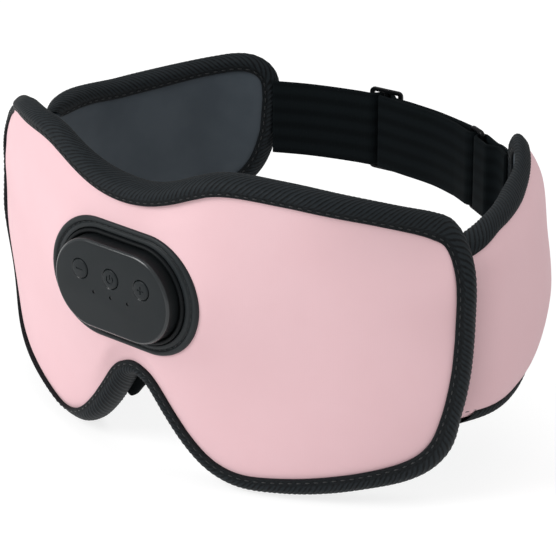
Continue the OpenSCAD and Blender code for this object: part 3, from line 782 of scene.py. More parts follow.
def piece(name, bm, material, body=None, nodes=()):
    """Makes a bmesh a smooth-shaded object of the scene."""
    mesh = bpy.data.meshes.new(name)
    bm.to_mesh(mesh)
    bm.free()
    mesh.materials.append(material)
    mesh.shade_smooth()
    made = bpy.data.objects.new(name, mesh)
    bpy.context.scene.collection.objects.link(made)
    belongs(made, body, nodes)
    print(name, len(mesh.polygons), "faces")
    return made


# %% [markdown]
# ### Changing a piece
# A modifier could stay live, but later steps read the mesh that it makes. So modifiers are applied
# at once, and every mesh is what it seems.

# %% Modifiers and bmesh changes
def modified(made, kind, **values):
    """Adds a modifier with these values."""
    modifier = made.modifiers.new(kind.lower(), kind)
    for key, value in values.items():
        setattr(modifier, key, value)
    return modifier


def applied(made):
    """Fixes all of a piece's modifiers into its mesh."""
    graph = bpy.context.evaluated_depsgraph_get()
    mesh = bpy.data.meshes.new_from_object(made.evaluated_get(graph), depsgraph=graph)
    made.modifiers.clear()
    old = made.data
    made.data = mesh
    bpy.data.meshes.remove(old)
    return made


def reshaped(made, operation):
    """Runs one bmesh operation on a finished piece."""
    bm = bmesh.new()
    bm.from_mesh(made.data)
    operation(bm)
    bm.to_mesh(made.data)
    bm.free()


def turned_over(made):
    """Turns every face of a finished piece over."""
    reshaped(made, lambda bm: bmesh.ops.reverse_faces(bm, faces=bm.faces))


print("modifier helpers ready")

# %% [markdown]
# ## Padded panels
# Each panel is a foam core between two cloths, squeezed at its rim by the binding. It starts as a
# flat closed slab and is blown up by Blender's cloth solver with its rim pinned. The solver gives
# the form and the foam gives the height, so the movement is scaled to the foam's own height, where
# it levels off, and the result is bent to place. A formula could stand for all of it, but it has no
# tension and looks like a pillow.

# %% The panel's grid of pattern points
def panel_grid(top, low, grow, columns, rows):
    """Pattern points of a panel that reaches grow past its cloth edge, evenly spaced."""
    rim = np.vstack([top, low[::-1]])
    rim = rim + outward(rim, True) * grow
    upper, lower = rim[:len(top)], rim[len(top):][::-1]
    mid = (upper[:, 0] + lower[:, 0]) / 2
    want = np.linspace(mid[0], mid[-1], columns + 1)
    index = np.interp(want, mid, np.arange(len(mid)))
    high, deep = (along(edge, np.arange(len(mid)), index) for edge in (upper, lower))
    w = np.linspace(0, 1, rows + 1)[None, :, None]
    return deep[:, None] * (1 - w) + high[:, None] * w


TUCK = 3 * mm
front_grid = panel_grid(front_top, front_low, TUCK, 104, 44)
wing_grid = panel_grid(wing_top, wing_low, TUCK, 48, 34)
print("grids:", front_grid.shape[:2], wing_grid.shape[:2])

# %% The cloth solver
FRAMES = 16
PINNED_RIM = 0.1 * mm
SOLVER = {"quality": 4, "mass": 0.05, "tension_stiffness": 5, "compression_stiffness": 5,
          "shear_stiffness": 2.5, "bending_stiffness": 0.5, "use_pressure": True,
          "uniform_pressure_force": 20, "vertex_group_mass": "pinned"}


def solved_move(made, rest, gap):
    """How the cloth solver moves each point of a slab whose rim is pinned."""
    pinned = made.vertex_groups.new(name="pinned")
    pinned.add([i for i, g in enumerate(gap) if g < PINNED_RIM], 1.0, "REPLACE")
    cloth = made.modifiers.new("cloth", "CLOTH")
    for key, value in SOLVER.items():
        setattr(cloth.settings, key, value)
    cloth.settings.effector_weights.gravity = 0
    for f in range(1, FRAMES + 1):
        bpy.context.scene.frame_set(f)
    graph = bpy.context.evaluated_depsgraph_get()
    shape = made.evaluated_get(graph).to_mesh()
    move = np.array([v.co for v in shape.vertices]) - rest
    made.modifiers.clear()
    bpy.context.scene.frame_set(1)
    return move


print("solver runs", FRAMES, "frames")

# %% [markdown]
# ### Blowing up a slab
# The slab is a grid extruded to a closed box, so both cloths and the rim are one mesh. Each point
# remembers its distance to the rim, because the pins and the tucked edge both need it.

# %% Flat slab
def flat_slab(name, pattern, t0, t1):
    """A closed slab on the flat pattern, from depth t0 to t1."""
    flat = np.stack([pattern[..., 0], np.full(pattern.shape[:2], t0), pattern[..., 1]], -1)
    bm = laid_grid(flat, (np.ptp(pattern[..., 0]), np.ptp(pattern[..., 1])))
    grown = bmesh.ops.extrude_face_region(bm, geom=bm.faces[:])["geom"]
    bmesh.ops.translate(bm, vec=(0, t1 - t0, 0),
                        verts=[g for g in grown if isinstance(g, bmesh.types.BMVert)])
    bmesh.ops.recalc_face_normals(bm, faces=bm.faces)
    return piece(name, bm, slate)


print("slab helper ready")

# %% Blown slab
LEVELS_OFF = 2.4


def blown_slab(name, pattern, t0, t1, rise_out, rise_in):
    """(slab, its swollen pattern points, their distance to the rim)."""
    made = flat_slab(name, pattern, t0, t1)
    rest = np.array([v.co for v in made.data.vertices])
    rim = np.vstack([pattern[0], pattern[:, -1], pattern[-1, ::-1], pattern[::-1, 0]])
    gap = np.array([np.hypot(*(rim - (x, z)).T).min() for x, _, z in rest])
    middle = (t0 + t1) / 2
    move = solved_move(made, rest, gap)
    limit = np.where(rest[:, 1] < middle, rise_out, rise_in)
    depth = limit * np.tanh(LEVELS_OFF * move[:, 1] / np.abs(move[:, 1]).max())
    soft = rest.copy()
    soft[:, 1] += depth
    print(name, "swells", round(-1000 * depth.min(), 2), "and", round(1000 * depth.max(), 2), "mm")
    return made, soft, gap


def seated(made, places):
    """Moves a piece's points to their bent places."""
    flat_list = np.ascontiguousarray(places, dtype=np.float32).ravel()
    made.data.vertices.foreach_set("co", flat_list)
    made.data.update()


def subdivided(made):
    """Rounds a soft piece once more."""
    modified(made, "SUBSURF", levels=1, render_levels=1)
    return applied(made)


print("a slab levels off at", round(math.tanh(LEVELS_OFF), 2), "of the foam's height")

# %% [markdown]
# ### The outer cloth
# The cover is a sheet of cloth that lies on the foam, so its mesh is the slab's own front faces,
# lifted a hair and given a thickness. At the dock the real cloth is cut out and clamped under the
# flange, so the same stadium is cut from it here.

# %% Outer cloth
CLOTH_T = 0.6 * mm
LIFT = 0.06 * mm
CUT_OUT = 1.7 * mm


def inside_dock(x, z, wider):
    """True inside a stadium that reaches wider past the pod's own outline."""
    return from_middle_line(x, z, POD_W, POD_H)[1] < POD_H / 2 + wider


def cover_from(name, pad, bend, soft, middle, open_dock=False):
    """The outer cloth: the pad's front faces, lifted to lie on it, with a thickness."""
    bm = bmesh.new()
    bm.from_mesh(pad.data)
    bm.verts.ensure_lookup_table()
    laid = bend(soft[:, 0], soft[:, 2], soft[:, 1] - LIFT)
    behind = soft[:, 1] > middle
    gone = behind | (open_dock & inside_dock(laid[:, 0], laid[:, 2], CUT_OUT))
    away = [v for v in bm.verts if gone[v.index]]
    for v in bm.verts:
        v.co = laid[v.index]
    bmesh.ops.delete(bm, geom=away, context="VERTS")
    made = piece(name, bm, blush)
    modified(made, "SUBSURF", levels=1, render_levels=1)
    modified(made, "SOLIDIFY", thickness=CLOTH_T, offset=1.0)
    return applied(made)


print("cover cloth", 1000 * CLOTH_T, "mm thick")

# %% [markdown]
# ## Front panel
# The front panel is the biggest piece. Its foam swells little in front, where the outer cloth is
# pulled flat, and more behind, where it rests on the face. Under the turned cheek the cloth goes in
# further than the binding, so that it stays covered. Inside the dock the foam is pushed back to
# leave room for the tray.

# %% Front panel
FRONT_RISE, BACK_RISE = 0.8 * mm, 1.6 * mm
RIM_INSET, BACK_INSET = 1.5 * mm, 0.8 * mm
STAYS_COVERED = 1.8
TRAY_ROOM = 5.6 * mm

front_pad, soft, gap = blown_slab("front_pad", front_grid, RIM_INSET, FRONT_T - BACK_INSET,
                                  FRONT_RISE, BACK_RISE)
soft[:, 1] += STAYS_COVERED * turned_under(soft[:, 0], soft[:, 2], TUCK - gap)
front_cover = cover_from("front_cover_cloth", front_pad, on_front, soft, FRONT_T / 2, True)
places = on_front(soft[:, 0], soft[:, 2], soft[:, 1])
hollow = inside_dock(places[:, 0], places[:, 2], 2 * mm)
places[:, 1] = np.where(hollow, np.maximum(places[:, 1], NOSE_Y + TRAY_ROOM), places[:, 1])
seated(front_pad, places)
subdivided(front_pad)
belongs(front_pad, "mask_front", ("front_foam", "front_lining"))
belongs(front_cover, "mask_front", ("front_cover",))
print("front panel cloth", len(front_cover.data.polygons), "faces")

# %% [markdown]
# ## Wings
# The wings are made like the front panel, but rounder: a wing's foam is free to swell outwards. The
# bend of the -X wing mirrors the pattern, which turns the pad's faces inside out, so they are turned
# back. The cover needs no such turn, because Solidify always gives a sheet outward faces.

# %% Wings
WING_INSET = 1.4 * mm
WING_RISE, WING_BACK_RISE = 6.2 * mm, 1.3 * mm


for side, hand in SIDES:
    name, bend = hand + "_wing", wing_bend(side)
    pad, soft, gap = blown_slab(name + "_pad", wing_grid, WING_INSET, WING_T - BACK_INSET,
                                WING_RISE, WING_BACK_RISE)
    cover = cover_from(name + "_cover_cloth", pad, bend, soft, WING_T / 2)
    seated(pad, bend(soft[:, 0], soft[:, 2], soft[:, 1]))
    subdivided(pad)
    if side < 0:
        turned_over(pad)
    belongs(pad, name, (name + "_foam", name + "_lining"))
    belongs(cover, name, (name + "_cover",))
print("wings done")

# %% [markdown]
# ## Ribbed binding
# The edges are bound with twill tape, folded over the rim. A bump map could draw the ribs, but at the
# rim one sees them in outline, so they are real relief. A tape is a long grid: across it runs the
# fold's section, and along it runs the rim's length. The rows are slanted so that they follow the
# twill, and every sixth row is the top of a rib.

# %% The fold's section
BIND_W = 5.7 * mm
LIP_W = 1.7 * mm
ROLL_SOFT = 0.6 * mm
ROLL_PROUD = 0.95 * mm
ROLL_SQUARE = 0.85


def fold_section(t):
    """(d past the cloth edge, depth) across the folded tape, from its front edge to its back."""
    lip = [(0.2 * mm, 0.9 * mm), (0.05 * mm, -0.2 * mm), (0.15 * mm, -0.55 * mm),
           (0.45 * mm, -0.66 * mm), (1.0 * mm, -0.66 * mm), (LIP_W, -0.6 * mm)]
    wide = BIND_W - LIP_W - ROLL_SOFT
    roll = [(BIND_W - wide + wide * math.cos(a) ** ROLL_SQUARE,
             t / 2 + (t / 2 + ROLL_PROUD) * math.sin(a))
            for a in np.radians(np.linspace(-90, 90, 13))]
    back = [(d, t - depth) for d, depth in lip[::-1]]
    return np.array(lip + roll + back)


print("tape needed across the fold, mm: front", round(1000 * arc_of(fold_section(FRONT_T))[-1], 1),
      "wing", round(1000 * arc_of(fold_section(WING_T))[-1], 1))

# %% [markdown]
# ### Where the binding is fuller
# Tape gathers at tight corners and is stretched thin on long straight edges. Two functions say how
# wide it lies, compared with its pattern, at any place on a rim.

# %% Fuller and thinner stretches
BULGE = 0.22
STRETCHED = 0.24
WING_BULGE = 0.15


def full_ends(s, z):
    """How wide the front binding lies: fuller at the +X end, thinner along the -X upper edge."""
    end = rising(s, 70 * mm, 28 * mm) * falling(z, 90 * mm, 12 * mm)
    cheek = rising(s, 30 * mm, 40 * mm) * falling(z, 32 * mm, 12 * mm)
    thin = falling(s, -34 * mm, 26 * mm) * rising(z, 58 * mm, 16 * mm)
    return 1 + BULGE * (end + cheek) - STRETCHED * thin


def wing_full(u, z):
    """The same for the +X wing, whose binding is widest where it meets the front panel."""
    return 1 + WING_BULGE * (1 - rising(u, -2 * mm, 20 * mm)) * rising(z, 50 * mm, 10 * mm)


print("front binding lies", round(float(full_ends(-90 * mm, 85 * mm)), 2), "to",
      round(float(full_ends(100 * mm, 20 * mm)), 2), "times its pattern's width")

# %% [markdown]
# ### Laying the tape
# The ribs are lifted along the section's own normals, and they fade out on the flat lips, where the
# stitches press the tape down. Their spacing wanders a little, because nobody feeds tape perfectly
# evenly. The -X wing's tape is turned over like its pad, so that its outside faces out.

# %% The tape's ribs
RIB_PITCH = 1.6 * mm
ROWS_PER_RIB = 6
RIB_RISE = 0.17 * mm
SLANT = 0.8
FLAT_LIP = 3.1 * mm
RIB_FADE = 0.9 * mm
# the flat lips get this fixed value of the painted rib shade, darker than the rib tops
LIP_SHADE = 0.2


def rib_relief(row, girth):
    """(height of the ribs by row, share of it across the fold), both from 0 to 1."""
    uneven = 0.35 * np.sin(0.37 * row) + 0.3 * np.sin(0.113 * row + 1)
    rib = 0.5 + 0.5 * np.cos(2 * math.pi * row / ROWS_PER_RIB + uneven)
    from_lip = np.minimum(girth, girth[-1] - girth)
    return rib, np.clip((from_lip - FLAT_LIP) / RIB_FADE, 0, 1)[None, :]


def shaded_by_rib(made, places, shade):
    """Stores each grid point's painted shade as the mesh attribute that the finish reads."""
    def spot(p):
        return tuple(np.round(np.array(p) * 1e6).astype(int))

    found = {spot(p): value for p, value in zip(places.reshape(-1, 3), shade.ravel())}
    ribs = made.data.attributes.new("rib", "FLOAT", "POINT")
    ribs.data.foreach_set("value", [found.get(spot(v.co), 0.5) for v in made.data.vertices])


print("ribs every", 1000 * RIB_PITCH, "mm")


# %% The three bindings
def taped(name, path, t, bend, closed, body, node, full=None, under=None):
    """The folded tape round a rim of thickness t."""
    rim_normal = outward(path, closed)
    if closed:
        path = np.vstack([path, path[:1]])
        rim_normal = np.vstack([rim_normal, rim_normal[:1]])
    arc = arc_of(path)
    length = arc[-1]
    section = fold_section(t)
    girth = arc_of(section)
    face = outward(section, False)
    rows = ROWS_PER_RIB * round(length / RIB_PITCH)
    row = np.arange(rows + 1)[:, None]
    rib, fade = rib_relief(row, girth)
    lift = RIB_RISE * rib * fade
    reach = row * length / rows + SLANT * (girth[None, :] - girth[-1] / 2)
    reach = reach % length if closed else np.clip(reach, 0, length)
    at, normal = along(path, arc, reach), along(rim_normal, arc, reach)
    d = section[None, :, 0] + face[None, :, 0] * lift
    depth = section[None, :, 1] + face[None, :, 1] * lift
    if full:
        d = d * full(at[..., 0], at[..., 1])
    if under:
        depth = depth + under(at[..., 0], at[..., 1], d)
    spread = at + normal * d[..., None]
    places = bend(spread[..., 0], spread[..., 1], depth)
    bm = laid_grid(places, (length, girth[-1]), join_u=closed)
    made = piece(name, bm, ribbed, body, (node,))
    # painted shade: rib tops light, hollows dark, the flat lips a fixed darker value
    shaded_by_rib(made, places, rib * fade + LIP_SHADE * (1 - fade))
    return made


taped("front_binding_tape", front_edge, FRONT_T, on_front, True, "mask_front", "front_binding",
      full_ends, turned_under)
for side, hand in SIDES:
    name = hand + "_wing"
    tape = taped(name + "_binding_tape", wing_edge, WING_T, wing_bend(side), False, name,
                 name + "_binding", wing_full if side > 0 else None)
    if side < 0:
        turned_over(tape)

# %% [markdown]
# ## Stitches
# One row of waxed thread holds each lip of the binding down. A drawn line would look flat, so each
# stitch is a small stretched ball that sinks into the cloth at both ends. There are hundreds of
# them, so a ball has few faces, and all stitches of a row are one piece.

# %% Stitch rows
STITCH_AT = 1.1 * mm
STITCH_DEPTH = 0.68 * mm


def stitched(name, places, pitch, long, thick, body):
    """Stitches along places, an array of xyz, as one piece."""
    arc = arc_of(places)
    count = round(arc[-1] / pitch)
    size = Matrix.Diagonal((long / 2, thick / 2, thick / 2, 1))
    bm = bmesh.new()
    for w in np.arange(0.5, count) * arc[-1] / count:
        a, b = (Vector(along(places, arc, w + e)) for e in (-mm, mm))
        turn = (b - a).to_track_quat("X", "Z").to_matrix().to_4x4()
        bmesh.ops.create_uvsphere(bm, u_segments=6, v_segments=4, radius=1,
                                  matrix=Matrix.Translation((a + b) / 2) @ turn @ size)
    return piece(name, bm, thread, body, ())


def lip_rows(name, edge, closed, t, bend, body, under=None):
    """A row of stitches on the front lip and one on the back lip of a binding."""
    edge = np.vstack([edge, edge[:1]]) if closed else edge
    line = edge + outward(edge, False) * STITCH_AT
    sink = under(line[:, 0], line[:, 1], STITCH_AT) if under else 0
    for where, depth in (("front", -STITCH_DEPTH), ("back", t + STITCH_DEPTH)):
        stitched(name + "_" + where + "_stitches", bend(line[:, 0], line[:, 1], depth + sink),
                 2.7 * mm, 1.7 * mm, 0.42 * mm, body)


lip_rows("front", front_edge, True, FRONT_T, on_front, "mask_front", turned_under)
for side, hand in SIDES:
    lip_rows(hand + "_wing", wing_edge, False, WING_T, wing_bend(side), hand + "_wing")

# %% [markdown]
# ## Webbing
# The strap is one length of flat elastic. It runs from the -X wing to the slider, weaves over the
# slider's middle bar, turns round the ring and comes back under itself to the slider. A curve
# object with a bevel could carry the section, but it twists at tight turns. So the path is drawn in
# plan, round the middle of the head, and the section is laid along it upright.

# %% Places round the head
STRAP_W = 25 * mm
STRAP_T = 1.4 * mm
STRAP_Z = 63.4 * mm
SLIDER_AT = math.radians(-9)
RING_AT = math.radians(22)
BAR_R = HEAD_R + 0.6 * mm
BAR_PITCH = 5.2 * mm
WEAVE = 1.9 * mm
OUTER_R = BAR_R - WEAVE
RETURN_R = OUTER_R - STRAP_T - 0.2 * mm
RING_R = (OUTER_R + RETURN_R) / 2
RING_HALF = 3 * mm
WRAP_R = 1.9 * mm
WRAP_STEPS = 12
WEAVE_STEPS = 12
TIP_AT = SEAM_AT - 83 * mm / HEAD_R
MIDDLE_AT = 0.5 * (SLIDER_AT + RING_AT)
RING_BAR = RING_AT - RING_HALF / RING_R
TAB_BAR = RING_AT + RING_HALF / RING_R


def polar(a, r):
    """Plan place at angle a round the head and distance r from its middle."""
    return (r * math.sin(a), HEAD_Y + r * math.cos(a))


def woven(along_bar):
    """Place of the webbing's middle where it weaves, in metres from the slider's middle bar."""
    return polar(SLIDER_AT + along_bar / BAR_R,
                 BAR_R + WEAVE * math.cos(math.pi * along_bar / BAR_PITCH))


def wrap(at, start, end):
    """Half a turn round a bar at angle at."""
    cx, cy = polar(at, RING_R)
    turns = [start + (end - start) * i / WRAP_STEPS for i in range(WRAP_STEPS + 1)]
    return [(cx + WRAP_R * math.sin(at + a), cy + WRAP_R * math.cos(at + a)) for a in turns]


print("slider at", [round(1000 * c, 1) for c in polar(SLIDER_AT, BAR_R)], "mm")

# %% Flat webbing along a path
def webbing(name, path):
    """Flat webbing with rounded edges laid along a plan path."""
    side = outward(path, False)
    half, edge = STRAP_W / 2 - STRAP_T / 2, STRAP_T / 2
    round_end = [(half + edge * math.cos(a), edge * math.sin(a))
                 for a in np.radians(np.linspace(-90, 90, 7))]
    section = np.array(round_end + [(-x, -y) for x, y in round_end] + round_end[:1])
    xy = path[:, None] + side[:, None] * section[None, :, 1:2]
    z = np.broadcast_to(STRAP_Z + section[None, :, 0], xy.shape[:2])
    bm = laid_grid(np.dstack([xy, z]), (arc_of(path)[-1], arc_of(section)[-1]), join_v=True)
    closed_ends(bm)
    print(name, "is", round(1000 * arc_of(path)[-1], 1), "mm long")
    return piece(name, bm, webbing_black)


def finely(path, step=0.8 * mm):
    """The same path with evenly spaced points."""
    arc = arc_of(path)
    return along(path, arc, np.linspace(0, arc[-1], max(2, round(arc[-1] / step))))


print("webbing", 1000 * STRAP_W, "by", 1000 * STRAP_T, "mm")

# %% [markdown]
# ### The three lengths
# The long run and the loop are fixed at the slider and pulled by a wing at their other end, so
# neither is attached to a body here. The tab is sewn to the +X wing and holds the ring, so it rides
# on the wing alone.

# %% Long run
# Each point is an angle and a distance, where the webbing leaves or meets something.
long_path = np.vstack([
    spline([polar(-TIP_AT - 0.03, HEAD_R), polar(-TIP_AT + 0.10, OUTER_R + 0.5 * mm),
            polar((SLIDER_AT - TIP_AT) / 2, OUTER_R), polar(SLIDER_AT - 9 * mm / BAR_R, OUTER_R)], 12),
    [woven(-BAR_PITCH * i / WEAVE_STEPS) for i in range(WEAVE_STEPS, -1, -1)]])
long_run = webbing("strap_long_run_webbing", finely(long_path))
belongs(long_run, None, ("strap_long_run",))
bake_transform(long_run)

# %% Loop round the ring
loop_path = np.vstack([
    [woven(BAR_PITCH * i / WEAVE_STEPS) for i in range(1, WEAVE_STEPS + 1)],
    spline([polar(SLIDER_AT + 10 * mm / BAR_R, OUTER_R), polar(MIDDLE_AT, OUTER_R),
            polar(RING_BAR - 0.09, OUTER_R + 0.4 * mm)], 14),
    wrap(RING_BAR, 0, math.pi),
    spline([polar(RING_BAR - 0.09, RETURN_R - 0.4 * mm), polar(MIDDLE_AT, RETURN_R),
            polar(SLIDER_AT + 9 * mm / BAR_R, RETURN_R),
            polar(SLIDER_AT + 3 * mm / BAR_R, BAR_R - 2.9 * mm),
            polar(SLIDER_AT - 1.4 * mm / BAR_R, BAR_R - 2.2 * mm)], 10)])
strap_loop = webbing("strap_loop_webbing", finely(loop_path))
belongs(strap_loop, None, ("strap_loop",))
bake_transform(strap_loop)

# %% Tab of the ring
tab_path = np.vstack([
    spline([polar(TIP_AT + 0.03, HEAD_R + 0.8 * mm), polar(TIP_AT - 0.05, HEAD_R + 0.6 * mm),
            polar(0.5 * (TIP_AT + TAB_BAR), RING_R + 1.8 * mm)], 8),
    wrap(TAB_BAR, 0, -math.pi),
    spline([polar(0.5 * (TIP_AT + TAB_BAR), RING_R - 1.8 * mm),
            polar(TIP_AT - 0.05, HEAD_R - 1.0 * mm), polar(TIP_AT + 0.03, HEAD_R - 0.8 * mm)], 8)])
tab = webbing("strap_tab_webbing", finely(tab_path, 0.5 * mm))
belongs(tab, "right_wing", ("strap_tab",))
print("tab rides on the +X wing")

# %% [markdown]
# ## Slider
# The slider is a flat moulded plate with two slots. It is cut like the real one: a block with round
# corners, minus two smaller blocks. Booleans leave knife edges, so a narrow bevel follows, which
# also catches the light as a moulded edge does.

# %% Blocks
def stood_at(bm, a, r, z):
    """Turns a flat form so that its Y axis points outwards at angle a round the head."""
    bmesh.ops.rotate(bm, cent=(0, 0, 0), matrix=Matrix.Rotation(-a, 3, "Z"), verts=bm.verts)
    x, y = polar(a, r)
    bmesh.ops.translate(bm, vec=(x, y, z), verts=bm.verts)


def block(size, at=(0, 0, 0), rounding=0.0):
    """A box, with the edges along Y rounded."""
    bm = bmesh.new()
    bmesh.ops.create_cube(bm, size=1)
    bmesh.ops.scale(bm, vec=size, verts=bm.verts)
    if rounding:
        edges = [e for e in bm.edges if abs(e.verts[0].co.y - e.verts[1].co.y) > 1e-7]
        bmesh.ops.bevel(bm, geom=edges, offset=rounding, segments=4, profile=0.5,
                        affect="EDGES", material=-1)
    bmesh.ops.translate(bm, vec=at, verts=bm.verts)
    return bm


print("block helpers ready")


# %% Cuts and soft edges
def cut(made, *cutters):
    """Cuts forms out of a piece."""
    for bm in cutters:
        mesh = bpy.data.meshes.new("cutter")
        bm.to_mesh(mesh)
        bm.free()
        tool = bpy.data.objects.new("cutter", mesh)
        bpy.context.scene.collection.objects.link(tool)
        modified(made, "BOOLEAN", operation="DIFFERENCE", solver="EXACT", object=tool)
        applied(made)
        bpy.data.objects.remove(tool)
        bpy.data.meshes.remove(mesh)


def edge_softened(made, width, segments=2):
    """Rounds the sharp edges and keeps the flats flat."""
    sharp = math.radians(35)
    modified(made, "BEVEL", width=width, segments=segments, limit_method="ANGLE",
             angle_limit=sharp, harden_normals=False)
    applied(made)
    made.data.shade_smooth()
    made.data.set_sharp_from_angle(angle=sharp)


print("cutting helpers ready")

# %% Slider plate
SLIDER_W = 12 * mm
SLIDER_H = STRAP_W + 3 * mm
SLIDER_T = 1.2 * mm
SLIDER_CORNER = 1.6 * mm
SLOT_W = 3.6 * mm
SLOT_H = STRAP_W + 0.4 * mm

slider = piece("strap_slider_plate",
               block((SLIDER_W, SLIDER_T, SLIDER_H), rounding=SLIDER_CORNER), black_plastic)
cut(slider, *[block((SLOT_W, 4 * mm, SLOT_H), at=(x * BAR_PITCH / 2, 0, 0)) for x in (-1, 1)])
reshaped(slider, lambda bm: stood_at(bm, SLIDER_AT, BAR_R, STRAP_Z))
edge_softened(slider, 0.3 * mm)
belongs(slider, "slider", ("strap_slider",))
print("slider", round(1000 * SLIDER_W), "by", round(1000 * SLIDER_H), "mm")

# %% [markdown]
# ## Ring
# The ring is round wire bent into a rectangle. A spin can't go round a rectangle, so a circle is
# carried round it: one grid, whose rows are circles that stand across the rectangle's outline.

# %% Ring of bent wire
RING_H = STRAP_W + 1.6 * mm
RING_CORNER = 1.0 * mm
WIRE_R = 0.8 * mm

outline = []
for k, (sx, sz) in enumerate(((1, 1), (-1, 1), (-1, -1), (1, -1))):
    for q in np.radians(np.linspace(0, 90, 6)):
        a = q + k * math.pi / 2
        outline.append((sx * (RING_HALF - RING_CORNER) + RING_CORNER * math.cos(a),
                        sz * (RING_H / 2 - RING_CORNER) + RING_CORNER * math.sin(a)))
outline = np.array(outline)
across = outward(outline, True)
outline, across = (np.vstack([rows, rows[:1]]) for rows in (outline, across))
turn = np.linspace(0, 2 * math.pi, 13)
flat = outline[:, None] + across[:, None] * (WIRE_R * np.cos(turn))[None, :, None]
thick = np.broadcast_to(WIRE_R * np.sin(turn), flat.shape[:2])
bm = laid_grid(np.stack([flat[..., 0], thick, flat[..., 1]], -1), (60 * mm, 6 * mm),
               join_u=True, join_v=True)
bmesh.ops.recalc_face_normals(bm, faces=bm.faces)
stood_at(bm, RING_AT, RING_R, STRAP_Z)
piece("strap_ring_wire", bm, black_plastic, "ring", ("strap_ring",))

# %% [markdown]
# ## Dock
# The dock is a moulding in two parts: a flange that clamps the cloth, with a rounded rim and a sewn
# groove, and a straight-walled tray that holds the pod. Both are drawn as a section, which is then
# carried round a stadium. A lathe's spin makes only round things, and a bevelled block would not
# give the groove.

# %% Stadium outlines
POD_GAP = 0.3 * mm
TRAY_WALL = 1.4 * mm
TRAY_W = POD_W + 2 * (POD_GAP + TRAY_WALL)
TRAY_H = POD_H + 2 * (POD_GAP + TRAY_WALL)
AT_ENDS = (FLANGE_W - TRAY_W) / (FLANGE_H - TRAY_H)
STADIUM_STEPS = 96


def stadium(w, h):
    """Points once round a stadium in plan, anticlockwise from its right end."""
    a = 2 * math.pi * (np.arange(STADIUM_STEPS + 1) % STADIUM_STEPS + 0.5) / STADIUM_STEPS
    return np.stack([np.copysign((w - h) / 2, np.cos(a)) + h / 2 * np.cos(a), h / 2 * np.sin(a)], -1)


def straight(plan, depth):
    """Places of a plan outline at one depth behind the panel's nose, round the pod's middle."""
    y = np.full(len(plan), NOSE_Y + depth)
    return np.stack([plan[:, 0], y, POD_Z + plan[:, 1]], -1)


def carried(w, h, section, at_ends=1.0):
    """A section of (inset, depth) carried round a stadium, with at_ends times the inset there."""
    places = [straight(stadium(w - 2 * inset * at_ends, h - 2 * inset), depth)
              for inset, depth in section]
    return laid_grid(np.stack(places, 1), (120 * mm, 12 * mm), join_u=True)


print("tray", round(1000 * TRAY_W, 1), "by", round(1000 * TRAY_H, 1), "mm")

# %% Flange and its sewn groove
GROOVE_AT = 1.64 * mm
GROOVE_DEPTH = 1.92 * mm

flange_section = [(x * mm, -y * mm) for x, y in (
    (0.0, -0.6), (0.0, 1.5), (0.1, 1.95), (0.35, 2.25), (0.7, 2.38), (1.05, 2.4), (1.35, 2.3),
    (1.48, 1.9), (1.8, 1.85), (1.92, 2.25), (2.15, 2.45), (2.6, 2.55), (3.0, 2.6), (3.1, 2.45),
    (3.1, -0.6))]
piece("dock_flange_ring", carried(FLANGE_W, FLANGE_H, flange_section, AT_ENDS), charcoal,
      "mask_front", ("dock_flange",))
groove = stadium(FLANGE_W - 2 * GROOVE_AT * AT_ENDS, FLANGE_H - 2 * GROOVE_AT)
stitched("dock_flange_stitches", straight(groove, -GROOVE_DEPTH), 2.4 * mm, 1.5 * mm, 0.34 * mm,
         "mask_front")

# %% [markdown]
# ### Tray
# The tray's section runs from its back edge up the outside, over a rounded rim and down the inside
# to the floor. Filling the two open rims with holes_fill closes the floor and the back.

# %% Tray
TRAY_FLOOR = 3.6 * mm

tray_section = [(x * mm, y * mm) for x, y in (
    (0.0, 4.8), (0.0, -2.7), (0.1, -3.05), (0.4, -3.32), (0.7, -3.4), (1.0, -3.32), (1.3, -3.05),
    (1.4, -2.6), (1.4, 3.4), (1.6, 3.6))]
bm = carried(TRAY_W, TRAY_H, tray_section)
floor_rim = [e for e in bm.edges
             if e.is_boundary and abs(e.verts[0].co.y - (NOSE_Y + TRAY_FLOOR)) < 1e-6]
bmesh.ops.holes_fill(bm, edges=floor_rim, sides=0)
closed_ends(bm)
piece("dock_tray", bm, bezel_black, "mask_front", ("dock_frame",))

# %% [markdown]
# ## Control pod
# The pod's front shell is a hollow moulding with a stadium outline. It is made like the mould that
# makes it: a block whose outer edge is bevelled, minus a smaller block inside and discs for the
# keys and lenses. Afterwards each face is given a finish by the way it points: the face's own, a
# darker one with painted shade on the wall, or a glossier, lighter one with a painted highlight on
# the rounded edge.

# %% Pod sizes
FACE_Y = -POD_PROUD
PART_Y = -2.5 * mm
SHELL_T = 1.3 * mm
FACE_T = 1.5 * mm
POD_EDGE = 1.15 * mm
KEY_D = 6 * mm
KEY_PITCH = 12.2 * mm
KEY_Z = 4 * mm
KEY_GAP = 0.3 * mm
KEY_CHAMFER = 0.7 * mm
LENS_Z = -2 * mm
LENS_PITCH = 6.8 * mm
LENS_D = 1.1 * mm
print("pod", 1000 * POD_W, "by", 1000 * POD_H, "mm, keys", 1000 * KEY_D, "mm")

# %% [markdown]
# ### Blanks for the pod
# Both blanks are drawn lying flat, where bmesh makes circles and cones, and then turned upright.

# %% Stadium prism and disc
QUARTER_TURN = Matrix.Rotation(math.radians(90), 3, "X")


